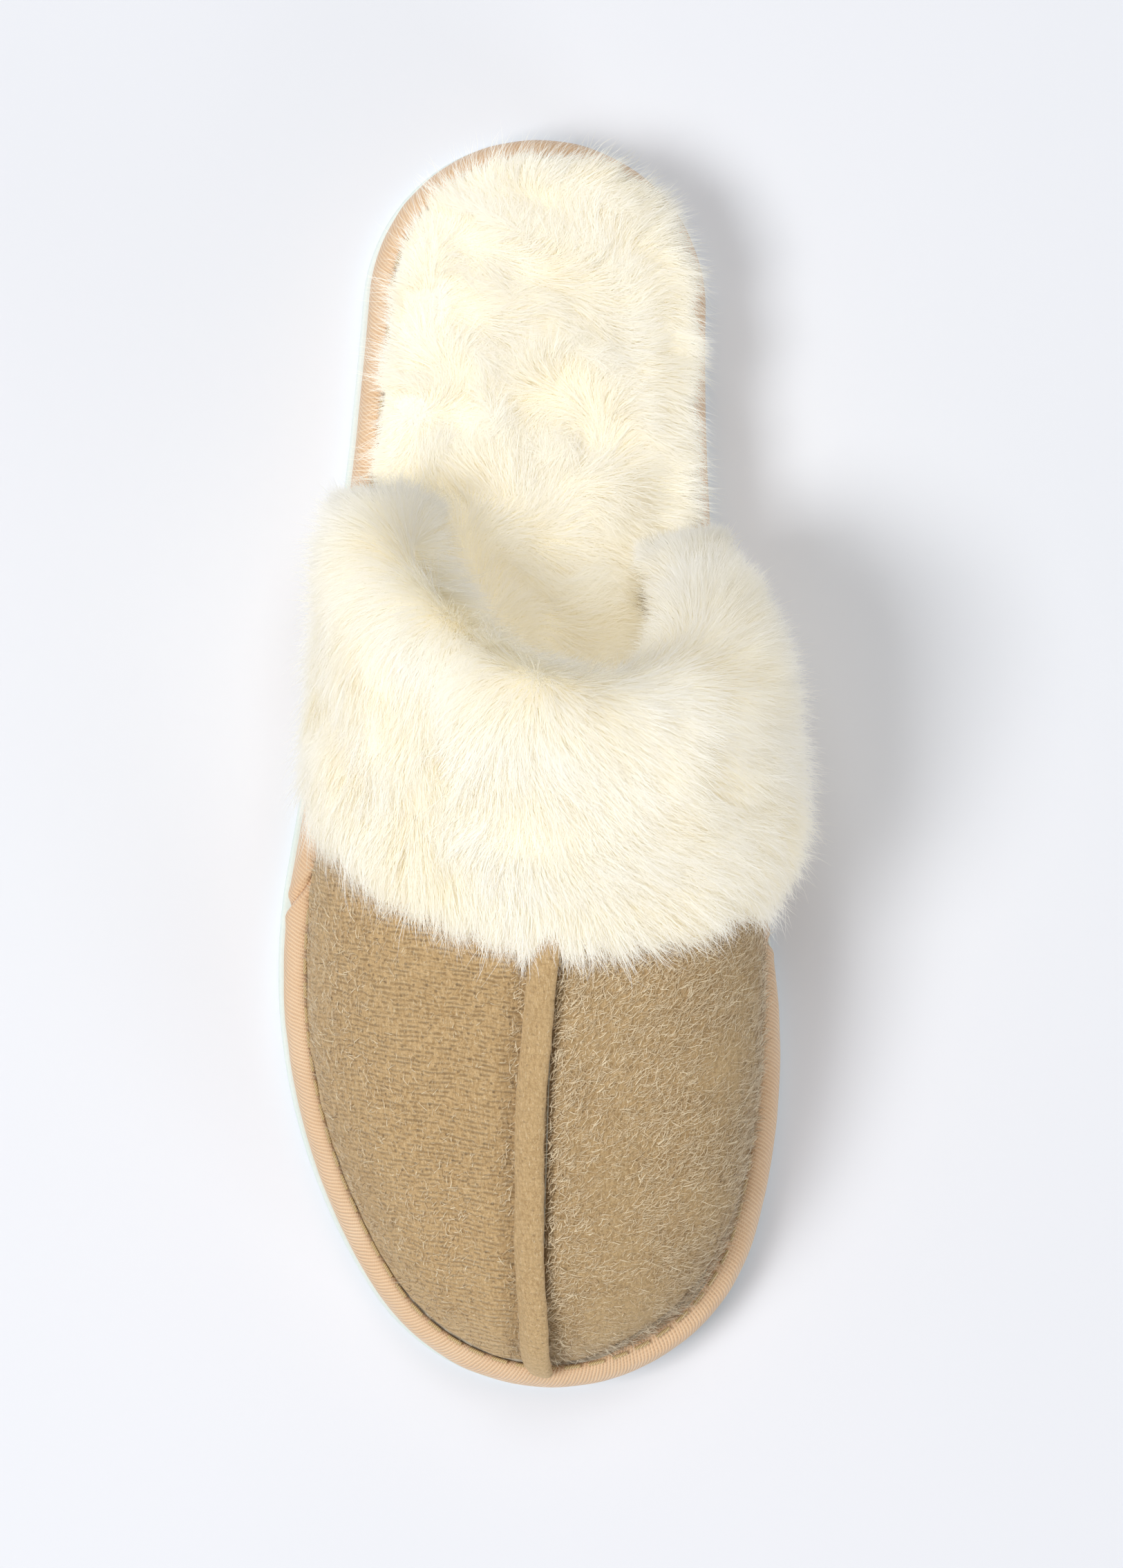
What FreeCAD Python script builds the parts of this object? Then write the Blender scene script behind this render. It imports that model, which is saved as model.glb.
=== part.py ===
"""Fluffy house slipper for the right foot, women's size 38 to 39.

The heel points along +Y, the toe along -Y, the big-toe side along +X and the ground is z = 0.
The origin is on the tread, in the flat waist of the sole.  All lengths are millimetres.
"""
import FreeCAD, Part
import math
import os
import Sketcher

from FreeCAD import Placement, Rotation, Vector

UP = Vector(0, 0, 1)

# ---------------------------------------------------------------- driving dimensions

SIZES = {
    # Sole outline: a heel circle and a toe circle, two ball arcs and two hollow side arcs.
    "heel_centre_x": 0.8,
    "heel_centre_y": 93.0,
    "heel_radius": 34.5,
    "toe_centre_x": 4.0,
    "toe_centre_y": -84.5,
    "toe_radius": 43.0,
    "lateral_ball_radius": 120.0,
    "lateral_ball_y": -43.0,
    "medial_ball_radius": 137.0,
    "medial_ball_y": -59.0,
    "lateral_side_radius": 1170.0,
    "waist_radius": 520.0,
    # Heights above the ground.
    "outsole_top": 4.0,
    "platform_bottom": 5.2,
    "platform_top": 15.2,
    "wrap_top": 16.4,
    "board_top": 16.2,
    "footbed_top": 20.2,
    "sock_top": 27.2,
    # Distances from the sole outline, inward.
    "no_inset": 0.0,
    "outsole_proud": -0.8,
    "wrap_thickness": 1.2,
    "wrap_lip_inset": 5.2,
    "wrap_margin_inset": 10.0,
    "outsole_land_inset": 11.2,
    "board_inset": 5.4,
    "upper_inset": 5.6,
    "sock_front_inset": 17.5,
    "sock_heel_inset": 5.8,
    # Outsole.
    "outsole_shift_x": -0.7,
    "outsole_edge_radius": 0.8,
    "tread_groove_width": 3.0,
    "tread_groove_depth": 1.4,
    "tread_pitch": 9.0,
    "heel_tread_length": 44.0,
    "heel_tread_start_y": 107.0,
    "heel_tread_count": 8,
    "toe_tread_length": 64.0,
    "toe_tread_start_y": -24.0,
    "toe_tread_count": 10,
    # Rounded edges of the platform and of the strip around it.
    "platform_top_radius": 4.0,
    "platform_bottom_radius": 2.0,
    "wrap_top_radius": 5.2,
    "wrap_bottom_radius": 3.2,
    "sock_edge_radius": 5.0,
    # The two ends of the strip meet on a slant at each side.
    "lateral_join_y": -25.5,
    "medial_join_y": -33.0,
    "join_reach": 20.0,
    "join_slope": 1.4,
    # Open heel part of the sock.
    "lateral_end_y": 50.0,
    "medial_end_y": 43.0,
    "open_heel_y": 56.5,
    "open_heel_turn": -5.0,
    # Layers of the upper, outside to inside, and the air kept between them.
    "panel_thickness": 1.1,
    "foam_thickness": 2.0,
    "lining_thickness": 3.2,
    "layer_gap": 0.15,
    "toe_seam_x": 1.3,
    "mouth_height": 71.0,
    # Centre welt.
    "welt_width": 5.5,
    "welt_height": 2.4,
    # Collar.
    "collar_lateral_thickness": 10.0,
    "collar_medial_thickness": 14.0,
    "collar_edge_thickness": 2.5,
    "collar_seam_x": 8.0,
    "collar_seam_y": -33.0,
    "collar_lateral_rise": 27.0,
    "collar_lateral_reach": 53.0,
    "collar_medial_rise": 9.0,
    "collar_medial_reach": 39.0,
    "collar_inside_depth": 11.0,
    "tape_thickness": 0.8,
    # Sewing.
    "thread_radius": 0.4,
    "stitch_length": 3.2,
    "stitch_pitch": 5.0,
}

doc = FreeCAD.newDocument("FluffyHouseSlipper")
sheet = doc.addObject("Spreadsheet::Sheet", "Sizes")
for row, (alias, number) in enumerate(SIZES.items(), start=1):
    sheet.set(f"A{row}", alias)
    sheet.set(f"B{row}", str(number))
    sheet.setAlias(f"B{row}", alias)
doc.recompute()


def size(alias):
    """The number in the sheet's cell of this name."""
    return float(sheet.get(alias))


def cell(alias):
    """The sheet's cell of this name, as it is written in an expression."""
    return f"<<Sizes>>.{alias}"


# ---------------------------------------------------------------- sole outline


class Arc:
    """One arc of the outline, followed anticlockwise around the sole as seen from above."""

    def __init__(self, centre, radius, convex=True):
        self.centre = centre
        self.radius = radius
        self.convex = convex
        self.first = 0.0
        self.last = 0.0

    def span(self, start, end):
        """Set the arc's angles from its first and last points."""
        first = math.atan2(start.y - self.centre.y, start.x - self.centre.x)
        last = math.atan2(end.y - self.centre.y, end.x - self.centre.x)
        while self.convex and last < first:
            last += 2 * math.pi
        while not self.convex and last > first:
            last -= 2 * math.pi
        self.first = first
        self.last = last

    def length(self):
        return abs(self.last - self.first) * self.radius

    def at(self, distance):
        """Point and outward direction after this distance along the arc."""
        turn = distance / self.radius
        angle = self.first + turn if self.convex else self.first - turn
        outward = Vector(math.cos(angle), math.sin(angle), 0)
        point = self.centre + outward * self.radius
        return point, outward if self.convex else outward * -1


def tangent_centre(one, other, radius, convex):
    """Centre of the arc of this radius that touches two circles, on the chain's inner side
    when it is convex and on its outer side when it is hollow."""
    to_one = radius - one.radius if convex else radius + one.radius
    to_other = radius - other.radius if convex else radius + other.radius
    between = other.centre - one.centre
    apart = between.Length
    along = (to_one**2 - to_other**2 + apart**2) / (2 * apart)
    aside = math.sqrt(to_one**2 - along**2)
    left = Vector(-between.y, between.x, 0) / apart
    return one.centre + between * (along / apart) + left * (aside if convex else -aside)


def touch_point(anchor, link):
    """Where an anchor circle and the arc that links it to the next one meet."""
    away = anchor.centre - link.centre if link.convex else link.centre - anchor.centre
    return anchor.centre + away * (anchor.radius / away.Length)


def ball_arc(name, toe, side):
    """A ball arc runs into the toe circle, so its height and radius settle where it is."""
    radius = size(f"{name}_radius")
    centre_y = size(f"{name}_y")
    across = math.sqrt((radius - toe.radius) ** 2 - (centre_y - toe.centre.y) ** 2)
    return Arc(Vector(toe.centre.x - side * across, centre_y, 0), radius)


def outline(inset=0.0):
    """The seven arcs of the sole outline moved inward by inset, from the back of the heel
    along the little-toe side to the toe and back along the big-toe side."""
    heel = Arc(Vector(size("heel_centre_x"), size("heel_centre_y"), 0), size("heel_radius"))
    toe = Arc(Vector(size("toe_centre_x"), size("toe_centre_y"), 0), size("toe_radius"))
    lateral = ball_arc("lateral_ball", toe, -1)
    medial = ball_arc("medial_ball", toe, 1)
    side_radius = size("lateral_side_radius")
    side = Arc(tangent_centre(heel, lateral, side_radius, False), side_radius, False)
    waist_radius = size("waist_radius")
    waist = Arc(tangent_centre(medial, heel, waist_radius, False), waist_radius, False)
    back = heel.centre + Vector(0, heel.radius, 0)
    joints = [
        back,
        touch_point(heel, side),
        touch_point(lateral, side),
        touch_point(toe, lateral),
        touch_point(toe, medial),
        touch_point(medial, waist),
        touch_point(heel, waist),
        back,
    ]
    last_heel = Arc(heel.centre, heel.radius)
    chain = [heel, side, lateral, toe, medial, waist, last_heel]
    for arc, start, end in zip(chain, joints[:-1], joints[1:]):
        arc.span(start, end)
        arc.radius += -inset if arc.convex else inset
    return chain


class Track:
    """A curve that follows the outline at one inset, measured from the back of the heel."""

    def __init__(self, inset):
        self.arcs = outline(inset)
        self.length = sum(arc.length() for arc in self.arcs)

    def at(self, distance):
        for arc in self.arcs[:-1]:
            if distance <= arc.length():
                return arc.at(distance)
            distance -= arc.length()
        return self.arcs[-1].at(distance)

    def toe_distance(self, seam_x):
        """Distance to the point of the toe circle with this x."""
        toe = self.arcs[3]
        angle = 1.5 * math.pi - math.asin((toe.centre.x - seam_x) / toe.radius)
        before = sum(arc.length() for arc in self.arcs[:3])
        return before + (angle - toe.first % (2 * math.pi)) * toe.radius

    def side_distance(self, height_y, lateral):
        """Distance to the point with this y on the little-toe or the big-toe side."""
        low, high = (0.0, self.length / 2) if lateral else (self.length, self.length / 2)
        for _ in range(40):
            middle = (low + high) / 2
            point, _outward = self.at(middle)
            low, high = (middle, high) if point.y > height_y else (low, middle)
        return (low + high) / 2


# ---------------------------------------------------------------- document helpers


def base_plane(body, role):
    """The body's own origin plane with this role."""
    planes = [item for item in body.Origin.OriginFeatures if item.Role == role]
    return planes[0]


def sketch_on(body, name, role="XY_Plane"):
    sketch = body.newObject("Sketcher::SketchObject", name)
    sketch.AttachmentSupport = [(base_plane(body, role), "")]
    sketch.MapMode = "FlatFace"
    return sketch


def bind(sketch, constraint, expression):
    """Add a constraint and tie its value to the sheet."""
    index = sketch.addConstraint(constraint)
    sketch.setExpression(f"Constraints[{index}]", expression)


def outline_sketch(body, name, inset_alias):
    """The sole outline at the inset held in one cell, fully constrained to the sheet."""
    sketch = sketch_on(body, name)
    chain = outline(size(inset_alias))
    for arc in chain:
        low, high = min(arc.first, arc.last), max(arc.first, arc.last)
        sketch.addGeometry(Part.ArcOfCircle(Part.Circle(arc.centre, UP, arc.radius), low, high))
    enters = [1 if arc.convex else 2 for arc in chain]
    leaves = [2 if arc.convex else 1 for arc in chain]
    for i in range(len(chain) - 1):
        sketch.addConstraint(Sketcher.Constraint("Tangent", i, leaves[i], i + 1, enters[i + 1]))
    sketch.addConstraint(Sketcher.Constraint("Coincident", 6, 2, 0, 1))
    sketch.addConstraint(Sketcher.Constraint("Coincident", 6, 3, 0, 3))
    sketch.addConstraint(Sketcher.Constraint("Vertical", 0, 3, 0, 1))
    for index, part in ((0, "heel"), (3, "toe")):
        centre = chain[index].centre
        across = Sketcher.Constraint("DistanceX", -1, 1, index, 3, centre.x)
        bind(sketch, across, cell(f"{part}_centre_x"))
        along = Sketcher.Constraint("DistanceY", -1, 1, index, 3, centre.y)
        bind(sketch, along, cell(f"{part}_centre_y"))
    for index, part in ((2, "lateral_ball"), (4, "medial_ball")):
        along = Sketcher.Constraint("DistanceY", -1, 1, index, 3, chain[index].centre.y)
        bind(sketch, along, cell(f"{part}_y"))
    radii = ("heel", "lateral_side", "lateral_ball", "toe", "medial_ball", "waist")
    for index, part in enumerate(radii):
        sign = "-" if chain[index].convex else "+"
        rule = f"{cell(part + '_radius')} {sign} {cell(inset_alias)}"
        bind(sketch, Sketcher.Constraint("Radius", index, chain[index].radius), rule)
    return sketch


def pad_outline(body, name, inset_alias, bottom, top):
    """Pad the outline between two heights, each the name of a cell or None for z = 0."""
    sketch = outline_sketch(body, f"{name}Sketch", inset_alias)
    low = cell(bottom) if bottom else "0"
    sketch.setExpression(".AttachmentOffset.Base.z", low)
    pad = body.newObject("PartDesign::Pad", name)
    pad.Profile = sketch
    pad.setExpression("Length", f"{cell(top)} - {low}")
    return pad


def edges_at(shape, height):
    """Names of the edges that lie flat at this height."""
    names = []
    for index, edge in enumerate(shape.Edges, start=1):
        box = edge.BoundBox
        if abs(box.ZMin - height) < 0.01 and abs(box.ZMax - height) < 0.01:
            names.append(f"Edge{index}")
    return names


def round_edges(body, name, base, height, radius_alias):
    """Fillet the edges of the base feature that lie at this height."""
    doc.recompute()
    fillet = body.newObject("PartDesign::Fillet", name)
    fillet.Base = (base, edges_at(base.Shape, height))
    fillet.setExpression("Radius", cell(radius_alias))
    return fillet


def new_body(label):
    body = doc.addObject("PartDesign::Body", label)
    body.Label = label
    return body


def slab(label, inset_alias, bottom, top, top_radius=None, bottom_radius=None):
    """A layer of the sole: the outline at one inset between two heights, edges rounded."""
    body = new_body(label)
    shape = pad_outline(body, f"{label}_pad", inset_alias, bottom, top)
    if top_radius:
        shape = round_edges(body, f"{label}_top_edge", shape, size(top), top_radius)
    if bottom_radius:
        shape = round_edges(body, f"{label}_bottom_edge", shape, size(bottom), bottom_radius)
    return body


def boolean(kind, label, base, tool):
    """Part::Cut or Part::Common of two objects."""
    result = doc.addObject(f"Part::{kind}", label)
    result.Label = label
    result.Base = base
    result.Tool = tool
    return result


def free_form(label, shape):
    """A sub-part whose shape is set from surfaces."""
    feature = doc.addObject("Part::Feature", label)
    feature.Label = label
    feature.Shape = shape
    feature.Placement = Placement(Vector(0, 0, 0), Rotation())
    return feature


# ---------------------------------------------------------------- sole


def cut_tread(body, base, name, length_alias, start_alias, count_alias):
    """A row of straight cross grooves with round ends, cut into the tread from below."""
    half_width = size("tread_groove_width") / 2
    half_length = size(length_alias) / 2 - half_width
    start = size(start_alias)
    sketch = sketch_on(body, f"{name}Sketch")
    right = Part.Circle(Vector(half_length, start, 0), UP, half_width)
    left = Part.Circle(Vector(-half_length, start, 0), UP, half_width)
    sketch.addGeometry(Part.ArcOfCircle(right, -math.pi / 2, math.pi / 2))
    sketch.addGeometry(Part.ArcOfCircle(left, math.pi / 2, 1.5 * math.pi))
    upper = Part.LineSegment(Vector(half_length, start + half_width, 0),
                             Vector(-half_length, start + half_width, 0))
    lower = Part.LineSegment(Vector(-half_length, start - half_width, 0),
                             Vector(half_length, start - half_width, 0))
    sketch.addGeometry(upper)
    sketch.addGeometry(lower)
    for joint in ((0, 2, 2, 1), (2, 2, 1, 1), (1, 2, 3, 1), (3, 2, 0, 1)):
        sketch.addConstraint(Sketcher.Constraint("Tangent", *joint))
    sketch.addConstraint(Sketcher.Constraint("Symmetric", 0, 3, 1, 3, -2))
    along = Sketcher.Constraint("DistanceY", -1, 1, 0, 3, start)
    bind(sketch, along, cell(start_alias))
    round_end = Sketcher.Constraint("Radius", 0, half_width)
    bind(sketch, round_end, f"{cell('tread_groove_width')} / 2")
    across = Sketcher.Constraint("DistanceX", 1, 3, 0, 3, 2 * half_length)
    bind(sketch, across, f"{cell(length_alias)} - {cell('tread_groove_width')}")
    pocket = body.newObject("PartDesign::Pocket", name)
    pocket.Profile = sketch
    pocket.Reversed = True
    pocket.setExpression("Length", cell("tread_groove_depth"))
    doc.recompute()
    if not pocket.Shape.Volume < base.Shape.Volume - 1:
        raise RuntimeError(f"{name} cuts nothing")
    pattern = body.newObject("PartDesign::LinearPattern", f"{name}Row")
    pattern.Originals = [pocket]
    pattern.Direction = (sketch, ["V_Axis"])
    pattern.Reversed = True
    pattern.Mode = "Spacing"
    pattern.setExpression("Offset", cell("tread_pitch"))
    pattern.setExpression("Occurrences", cell(count_alias))
    body.Tip = pattern
    doc.recompute()
    return pattern


def make_outsole():
    """Thin moulded sheet with cross grooves below and a raised land above, inside the
    margin where the strip is turned under."""
    body = new_body("outsole")
    sheet_pad = pad_outline(body, "TreadSheet", "outsole_proud", None, "outsole_top")
    round_edges(body, "SheetEdge", sheet_pad, size("outsole_top"), "outsole_edge_radius")
    land = pad_outline(body, "Land", "outsole_land_inset", "outsole_top", "platform_bottom")
    doc.recompute()
    heel = cut_tread(body, land, "HeelTread", "heel_tread_length", "heel_tread_start_y",
                     "heel_tread_count")
    cut_tread(body, heel, "ToeTread", "toe_tread_length", "toe_tread_start_y",
              "toe_tread_count")
    body.setExpression("Placement.Base.x", cell("outsole_shift_x"))
    return body


def make_toe_side():
    """Everything in front of the two slanting joins of the strip, as a cutting block."""
    body = new_body("toe_side")
    sketch = sketch_on(body, "toe_side_sketch")
    reach, slope = size("join_reach"), size("join_slope")
    lateral, medial = size("lateral_join_y"), size("medial_join_y")
    side, front = 50 + reach, -150.0
    corners = [
        Vector(-50 + reach, lateral + reach * slope, 0),
        Vector(-side, lateral - reach * slope, 0),
        Vector(-side, front, 0),
        Vector(side, front, 0),
        Vector(side, medial - reach * slope, 0),
        Vector(50 - reach, medial + reach * slope, 0),
    ]
    for start, end in zip(corners, corners[1:] + corners[:1]):
        sketch.addGeometry(Part.LineSegment(start, end))
    for i in range(len(corners)):
        following = (i + 1) % len(corners)
        sketch.addConstraint(Sketcher.Constraint("Coincident", i, 2, following, 1))
    sketch.addConstraint(Sketcher.Constraint("Block", 0))
    pad = body.newObject("PartDesign::Pad", "toe_side_pad")
    pad.Profile = sketch
    pad.setExpression("Length", f"{cell('wrap_top')} + 5")
    return body


def make_wrap(platform):
    """The ribbed strip: it starts under the platform, rises round its side and ends in a
    lip on top.  It is one blank around the platform, cut into a toe and a heel strip."""
    blank = slab("wrap_blank", "no_inset", "outsole_top", "wrap_top",
                 "wrap_top_radius", "wrap_bottom_radius")
    for name, inset, low, high in (
        ("wrap_top_opening", "wrap_lip_inset", "platform_bottom", "wrap_top"),
        ("wrap_bottom_opening", "wrap_margin_inset", "outsole_top", "platform_top"),
    ):
        doc.recompute()
        before = blank.Shape.Volume
        sketch = outline_sketch(blank, f"{name}_sketch", inset)
        sketch.setExpression(".AttachmentOffset.Base.z", cell(low))
        pocket = blank.newObject("PartDesign::Pocket", name)
        pocket.Profile = sketch
        pocket.Reversed = True
        rise = f"{cell(high)} - {cell(low)}"
        pocket.setExpression("Length", rise)
        doc.recompute()
        if pocket.Shape.isNull() or pocket.Shape.Volume > before - 1:
            raise RuntimeError(f"{name} cuts nothing")
    ring = boolean("Cut", "wrap_ring", blank, platform)
    block = make_toe_side()
    toe = boolean("Common", "wrap_toe", ring, block)
    heel = boolean("Cut", "wrap_heel", ring, block)
    return toe, heel


def make_layer_with_open_heel(label, bottom, top, edge_radius=None):
    """A sole layer that stays clear of the upper in front and reaches the strip behind it."""
    front = slab(f"{label}_front", "sock_front_inset", bottom, top, edge_radius)
    heel = slab(f"{label}_heel", "sock_heel_inset", bottom, top, edge_radius)
    box = doc.addObject("Part::Box", f"{label}_heel_space")
    box.Length = 120
    box.Width = 120
    box.Height = 60
    turn = Rotation(UP, size("open_heel_turn"))
    box.Placement = Placement(Vector(-60, size("open_heel_y"), 0), turn)
    box.setExpression("Placement.Base.y", cell("open_heel_y"))
    box.setExpression("Placement.Rotation.Angle", cell("open_heel_turn"))
    rear = boolean("Common", f"{label}_rear", heel, box)
    return boolean("Fuse", label, front, rear)


# ---------------------------------------------------------------- shape of the upper

# The upper's top edge, from its little-toe end round the front of the mouth to its
# big-toe end: x, y, and height as a share of the mouth's height.
MOUTH_EDGE = [
    (-32.5, 50.0, 0.50),
    (-28.0, 35.0, 0.72),
    (-14.0, 18.0, 0.93),
    (7.0, 8.0, 1.00),
    (27.0, 9.0, 0.94),
    (37.0, 22.0, 0.74),
    (33.5, 43.0, 0.50),
]


def ease(value):
    """Smooth step from 0 to 1."""
    value = min(max(value, 0.0), 1.0)
    return value * value * (3 - 2 * value)


class Upper:
    """The outer face of the upper.  along runs 0 to 1 from the little-toe end round the toe
    to the big-toe end, with the centre seam at 0.5; rise runs 0 to 1 from the sole to the
    mouth's edge."""

    def __init__(self):
        self.foot = Track(size("upper_inset"))
        self.start = self.foot.side_distance(size("lateral_end_y"), True)
        self.middle = self.foot.toe_distance(size("toe_seam_x"))
        self.end = self.foot.side_distance(size("medial_end_y"), False)
        height = size("mouth_height")
        self.mouth = Part.BSplineCurve()
        self.mouth.interpolate([Vector(x, y, share * height) for x, y, share in MOUTH_EDGE])
        self.bottom = size("board_top") + 0.05

    def mouth_point(self, along):
        first, last = self.mouth.FirstParameter, self.mouth.LastParameter
        return self.mouth.value(first + (last - first) * along)

    def profile(self, along):
        """The four control points of the curve from the sole to the mouth."""
        if along <= 0.5:
            distance = self.start + (self.middle - self.start) * along * 2
        else:
            distance = self.middle + (self.end - self.middle) * (along * 2 - 1)
        foot, outward = self.foot.at(distance)
        foot.z = self.bottom
        top = self.mouth_point(along)
        flat = Vector(foot.x - top.x, foot.y - top.y, 0)
        height = top.z - foot.z
        slack = flat.Length / (flat.Length + height)
        medial = ease((along - 0.6) / 0.25)
        medial *= 1 - 0.6 * ease((along - 0.86) / 0.14)
        lean = 1.0 + 5.5 * medial
        lower = foot + outward * lean + UP * (height * (0.40 + 0.20 * slack))
        drop = height * 0.33 * (1 - slack) + flat.Length * 0.07
        upper = top + flat * 0.42 + outward * (1.0 + 4.0 * medial) - UP * drop
        return foot, lower, upper, top

    def at(self, along, rise):
        foot, lower, upper, top = self.profile(along)
        rest = 1 - rise
        return (foot * rest**3 + lower * (3 * rest**2 * rise)
                + upper * (3 * rest * rise**2) + top * rise**3)

    def frame(self, along, rise):
        """Point, direction along the upper, direction up the upper, and outward normal."""
        step = 0.002
        before, after = max(along - step, 0), min(along + step, 1)
        low, high = max(rise - step, 0), min(rise + step, 1)
        sideways = (self.at(after, rise) - self.at(before, rise)).normalize()
        upward = (self.at(along, high) - self.at(along, low)).normalize()
        normal = sideways.cross(upward).normalize()
        return self.at(along, rise), sideways, upward, normal

    def offset(self, along, rise, distance):
        """A point this far outside the outer face."""
        point, _sideways, _upward, normal = self.frame(along, rise)
        moved = point + normal * distance
        if rise == 0:
            moved.z = self.bottom
        return moved

    def seam_rise(self, along):
        """How far up the collar's lower edge crosses; the collar starts just above the
        strip where the whole side is behind that edge."""
        lowest = 0.05
        if self.at(along, lowest).y >= collar_line_y(self.at(along, lowest).x):
            return lowest
        low, high = lowest, 1.0
        for _ in range(30):
            middle = (low + high) / 2
            point = self.at(along, middle)
            behind = point.y >= collar_line_y(point.x)
            low, high = (low, middle) if behind else (middle, high)
        return (low + high) / 2


def collar_line_y(across):
    """Plan of the collar's lower edge: two parabolas that meet at its front."""
    from_front = across - size("collar_seam_x")
    name = "lateral" if from_front < 0 else "medial"
    share = from_front / size(f"collar_{name}_reach")
    return size("collar_seam_y") + size(f"collar_{name}_rise") * share**2


def steps(first, last, count):
    """Evenly spaced values, ends included."""
    return [first + (last - first) * i / (count - 1) for i in range(count)]


def net_face(poles):
    """The smooth face that a net of control points pulls into shape; a net of two rows
    gives a ruled face."""
    degrees = [min(3, len(poles) - 1), min(3, len(poles[0]) - 1)]
    knots, counts = [], []
    for degree, across in zip(degrees, (len(poles), len(poles[0]))):
        spans = across - degree
        knots.append([float(i) for i in range(spans + 1)])
        counts.append([degree + 1] + [1] * (spans - 1) + [degree + 1])
    surface = Part.BSplineSurface()
    surface.buildFromPolesMultsKnots(poles, counts[0], counts[1], knots[0], knots[1],
                                     False, False, degrees[0], degrees[1])
    return surface.toShape()


def solid_between(outer, inner):
    """The closed solid between two nets of the same size: their two faces and the four
    ruled sides that join their borders."""
    borders = [
        (outer[0], inner[0]),
        (outer[-1], inner[-1]),
        ([row[0] for row in outer], [row[0] for row in inner]),
        ([row[-1] for row in outer], [row[-1] for row in inner]),
    ]
    faces = [net_face(outer), net_face(inner)]
    faces += [net_face([one, other]) for one, other in borders]
    shell = Part.makeShell(faces)
    shell.sewShape(0.001)
    solid = Part.makeSolid(Part.Shell(shell.Faces))
    if solid.Volume < 0:
        solid.reverse()
    return solid


# ---------------------------------------------------------------- upper


def upper_layer(upper, alongs, outer_offset, inner_offset, top=lambda along: 1.0):
    """A sheet of the upper between two offsets from its outer face."""
    rises = steps(0, 1, 11)
    outer = [[upper.offset(a, r * top(a), outer_offset) for r in rises] for a in alongs]
    inner = [[upper.offset(a, r * top(a), inner_offset) for r in rises] for a in alongs]
    return solid_between(outer, inner)


def make_upper_layers(upper):
    """Two fabric panels, the foam behind them and the plush lining, outside to inside."""
    gap = size("layer_gap")
    panel_inner = -size("panel_thickness")
    foam_outer = panel_inner - gap
    foam_inner = foam_outer - size("foam_thickness")
    lining_outer = foam_inner - gap
    lining_inner = lining_outer - size("lining_thickness")
    seam = 0.001
    free_form("vamp_lateral",
              upper_layer(upper, steps(0, 0.5 - seam, 17), 0, panel_inner))
    free_form("vamp_medial",
              upper_layer(upper, steps(0.5 + seam, 1, 17), 0, panel_inner))
    alongs = steps(0, 1, 33)
    free_form("vamp_foam", upper_layer(upper, alongs, foam_outer, foam_inner))
    free_form("vamp_lining_fur", upper_layer(upper, alongs, lining_outer, lining_inner))
    return -lining_inner


def make_welt(upper):
    """A rounded strip over the centre seam, hollow enough below to clear its sewing."""
    half = size("welt_width") / 2
    top = upper.seam_rise(0.5) - 0.008
    outer, inner = [], []
    for rise in steps(0.015, top, 15):
        point, sideways, _upward, normal = upper.frame(0.5, rise)
        outer_row, inner_row = [], []
        for share in steps(-1, 1, 7):
            crown = math.sqrt(max(1 - share**2, 0.0))
            sag = 0.012 * (half * share) ** 2
            side = point + sideways * (half * share) - normal * sag
            outer_row.append(side + normal * (0.9 + (size("welt_height") - 0.9) * crown))
            inner_row.append(side + normal * (0.25 + 0.85 * crown))
        outer.append(outer_row)
        inner.append(inner_row)
    free_form("centre_welt", solid_between(outer, inner))


def fold_depth(upper, along):
    """How far the cuff reaches down inside: less where the mouth's edge is near the sock."""
    above_sock = upper.mouth_point(along).z - size("sock_top") - 1.3
    return min(size("collar_inside_depth"), above_sock)


def mouth_path(upper, along, width):
    """Places down the cuff's inner face: over the outside of the upper, round its top edge
    and down inside, for an upper of this total width.  Each is a point, the direction in
    which the cuff is thick there, and the lowest height that the cuff may have there."""
    path = []
    outside = size("wrap_top") + 1.2
    inside = size("sock_top") + 0.8
    for rise in steps(upper.seam_rise(along), 1, 10):
        point, _sideways, _upward, normal = upper.frame(along, rise)
        level = Vector(normal.x, normal.y, max(normal.z, 0.0)).normalize()
        path.append((point + normal * 0.5, level, outside))
    edge, _sideways, upward, normal = upper.frame(along, 1.0)
    centre = edge - normal * (width / 2)
    for turn in steps(30, 150, 5):
        angle = math.radians(turn)
        reach = width / 2 + 0.4
        lift = 2.4 * math.sin(angle) ** 0.7
        point = centre + normal * (reach * math.cos(angle)) + upward * lift
        spread = normal * math.cos(angle) + upward * math.sin(angle)
        path.append((point, spread, outside))
    depth = fold_depth(upper, along) / upper_length(upper, along)
    for share in (0.1, 0.55, 1.0):
        point, _sideways, _upward, normal = upper.frame(along, 1 - share * depth)
        path.append((point - normal * (width + 0.4), normal * -1, inside))
    return path


def upper_length(upper, along):
    """Length of the upper's profile from the sole to the mouth."""
    points = [upper.at(along, rise) for rise in steps(0, 1, 12)]
    return sum((b - a).Length for a, b in zip(points, points[1:]))


def collar_thickness(along, share):
    """Thickness of the cuff: full in the middle of the band, thin at its edges, and fuller
    on the big-toe side; share runs 0 to 1 from the lower edge to the edge inside."""
    thin = size("collar_edge_thickness")
    lateral, medial = size("collar_lateral_thickness"), size("collar_medial_thickness")
    full = lateral + (medial - lateral) * ease((along - 0.35) / 0.4)
    ends = 0.55 + 0.45 * ease(min(along / 0.06, (1 - along) / 0.14))
    inside = 1 - 0.45 * ease((share - 0.6) / 0.3)
    return thin + (full * inside - thin) * math.sin(math.pi * share) ** 0.55 * ends


def raised(point, floor):
    """The point, moved up to the floor height if it is below it."""
    return Vector(point.x, point.y, max(point.z, floor))


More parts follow.
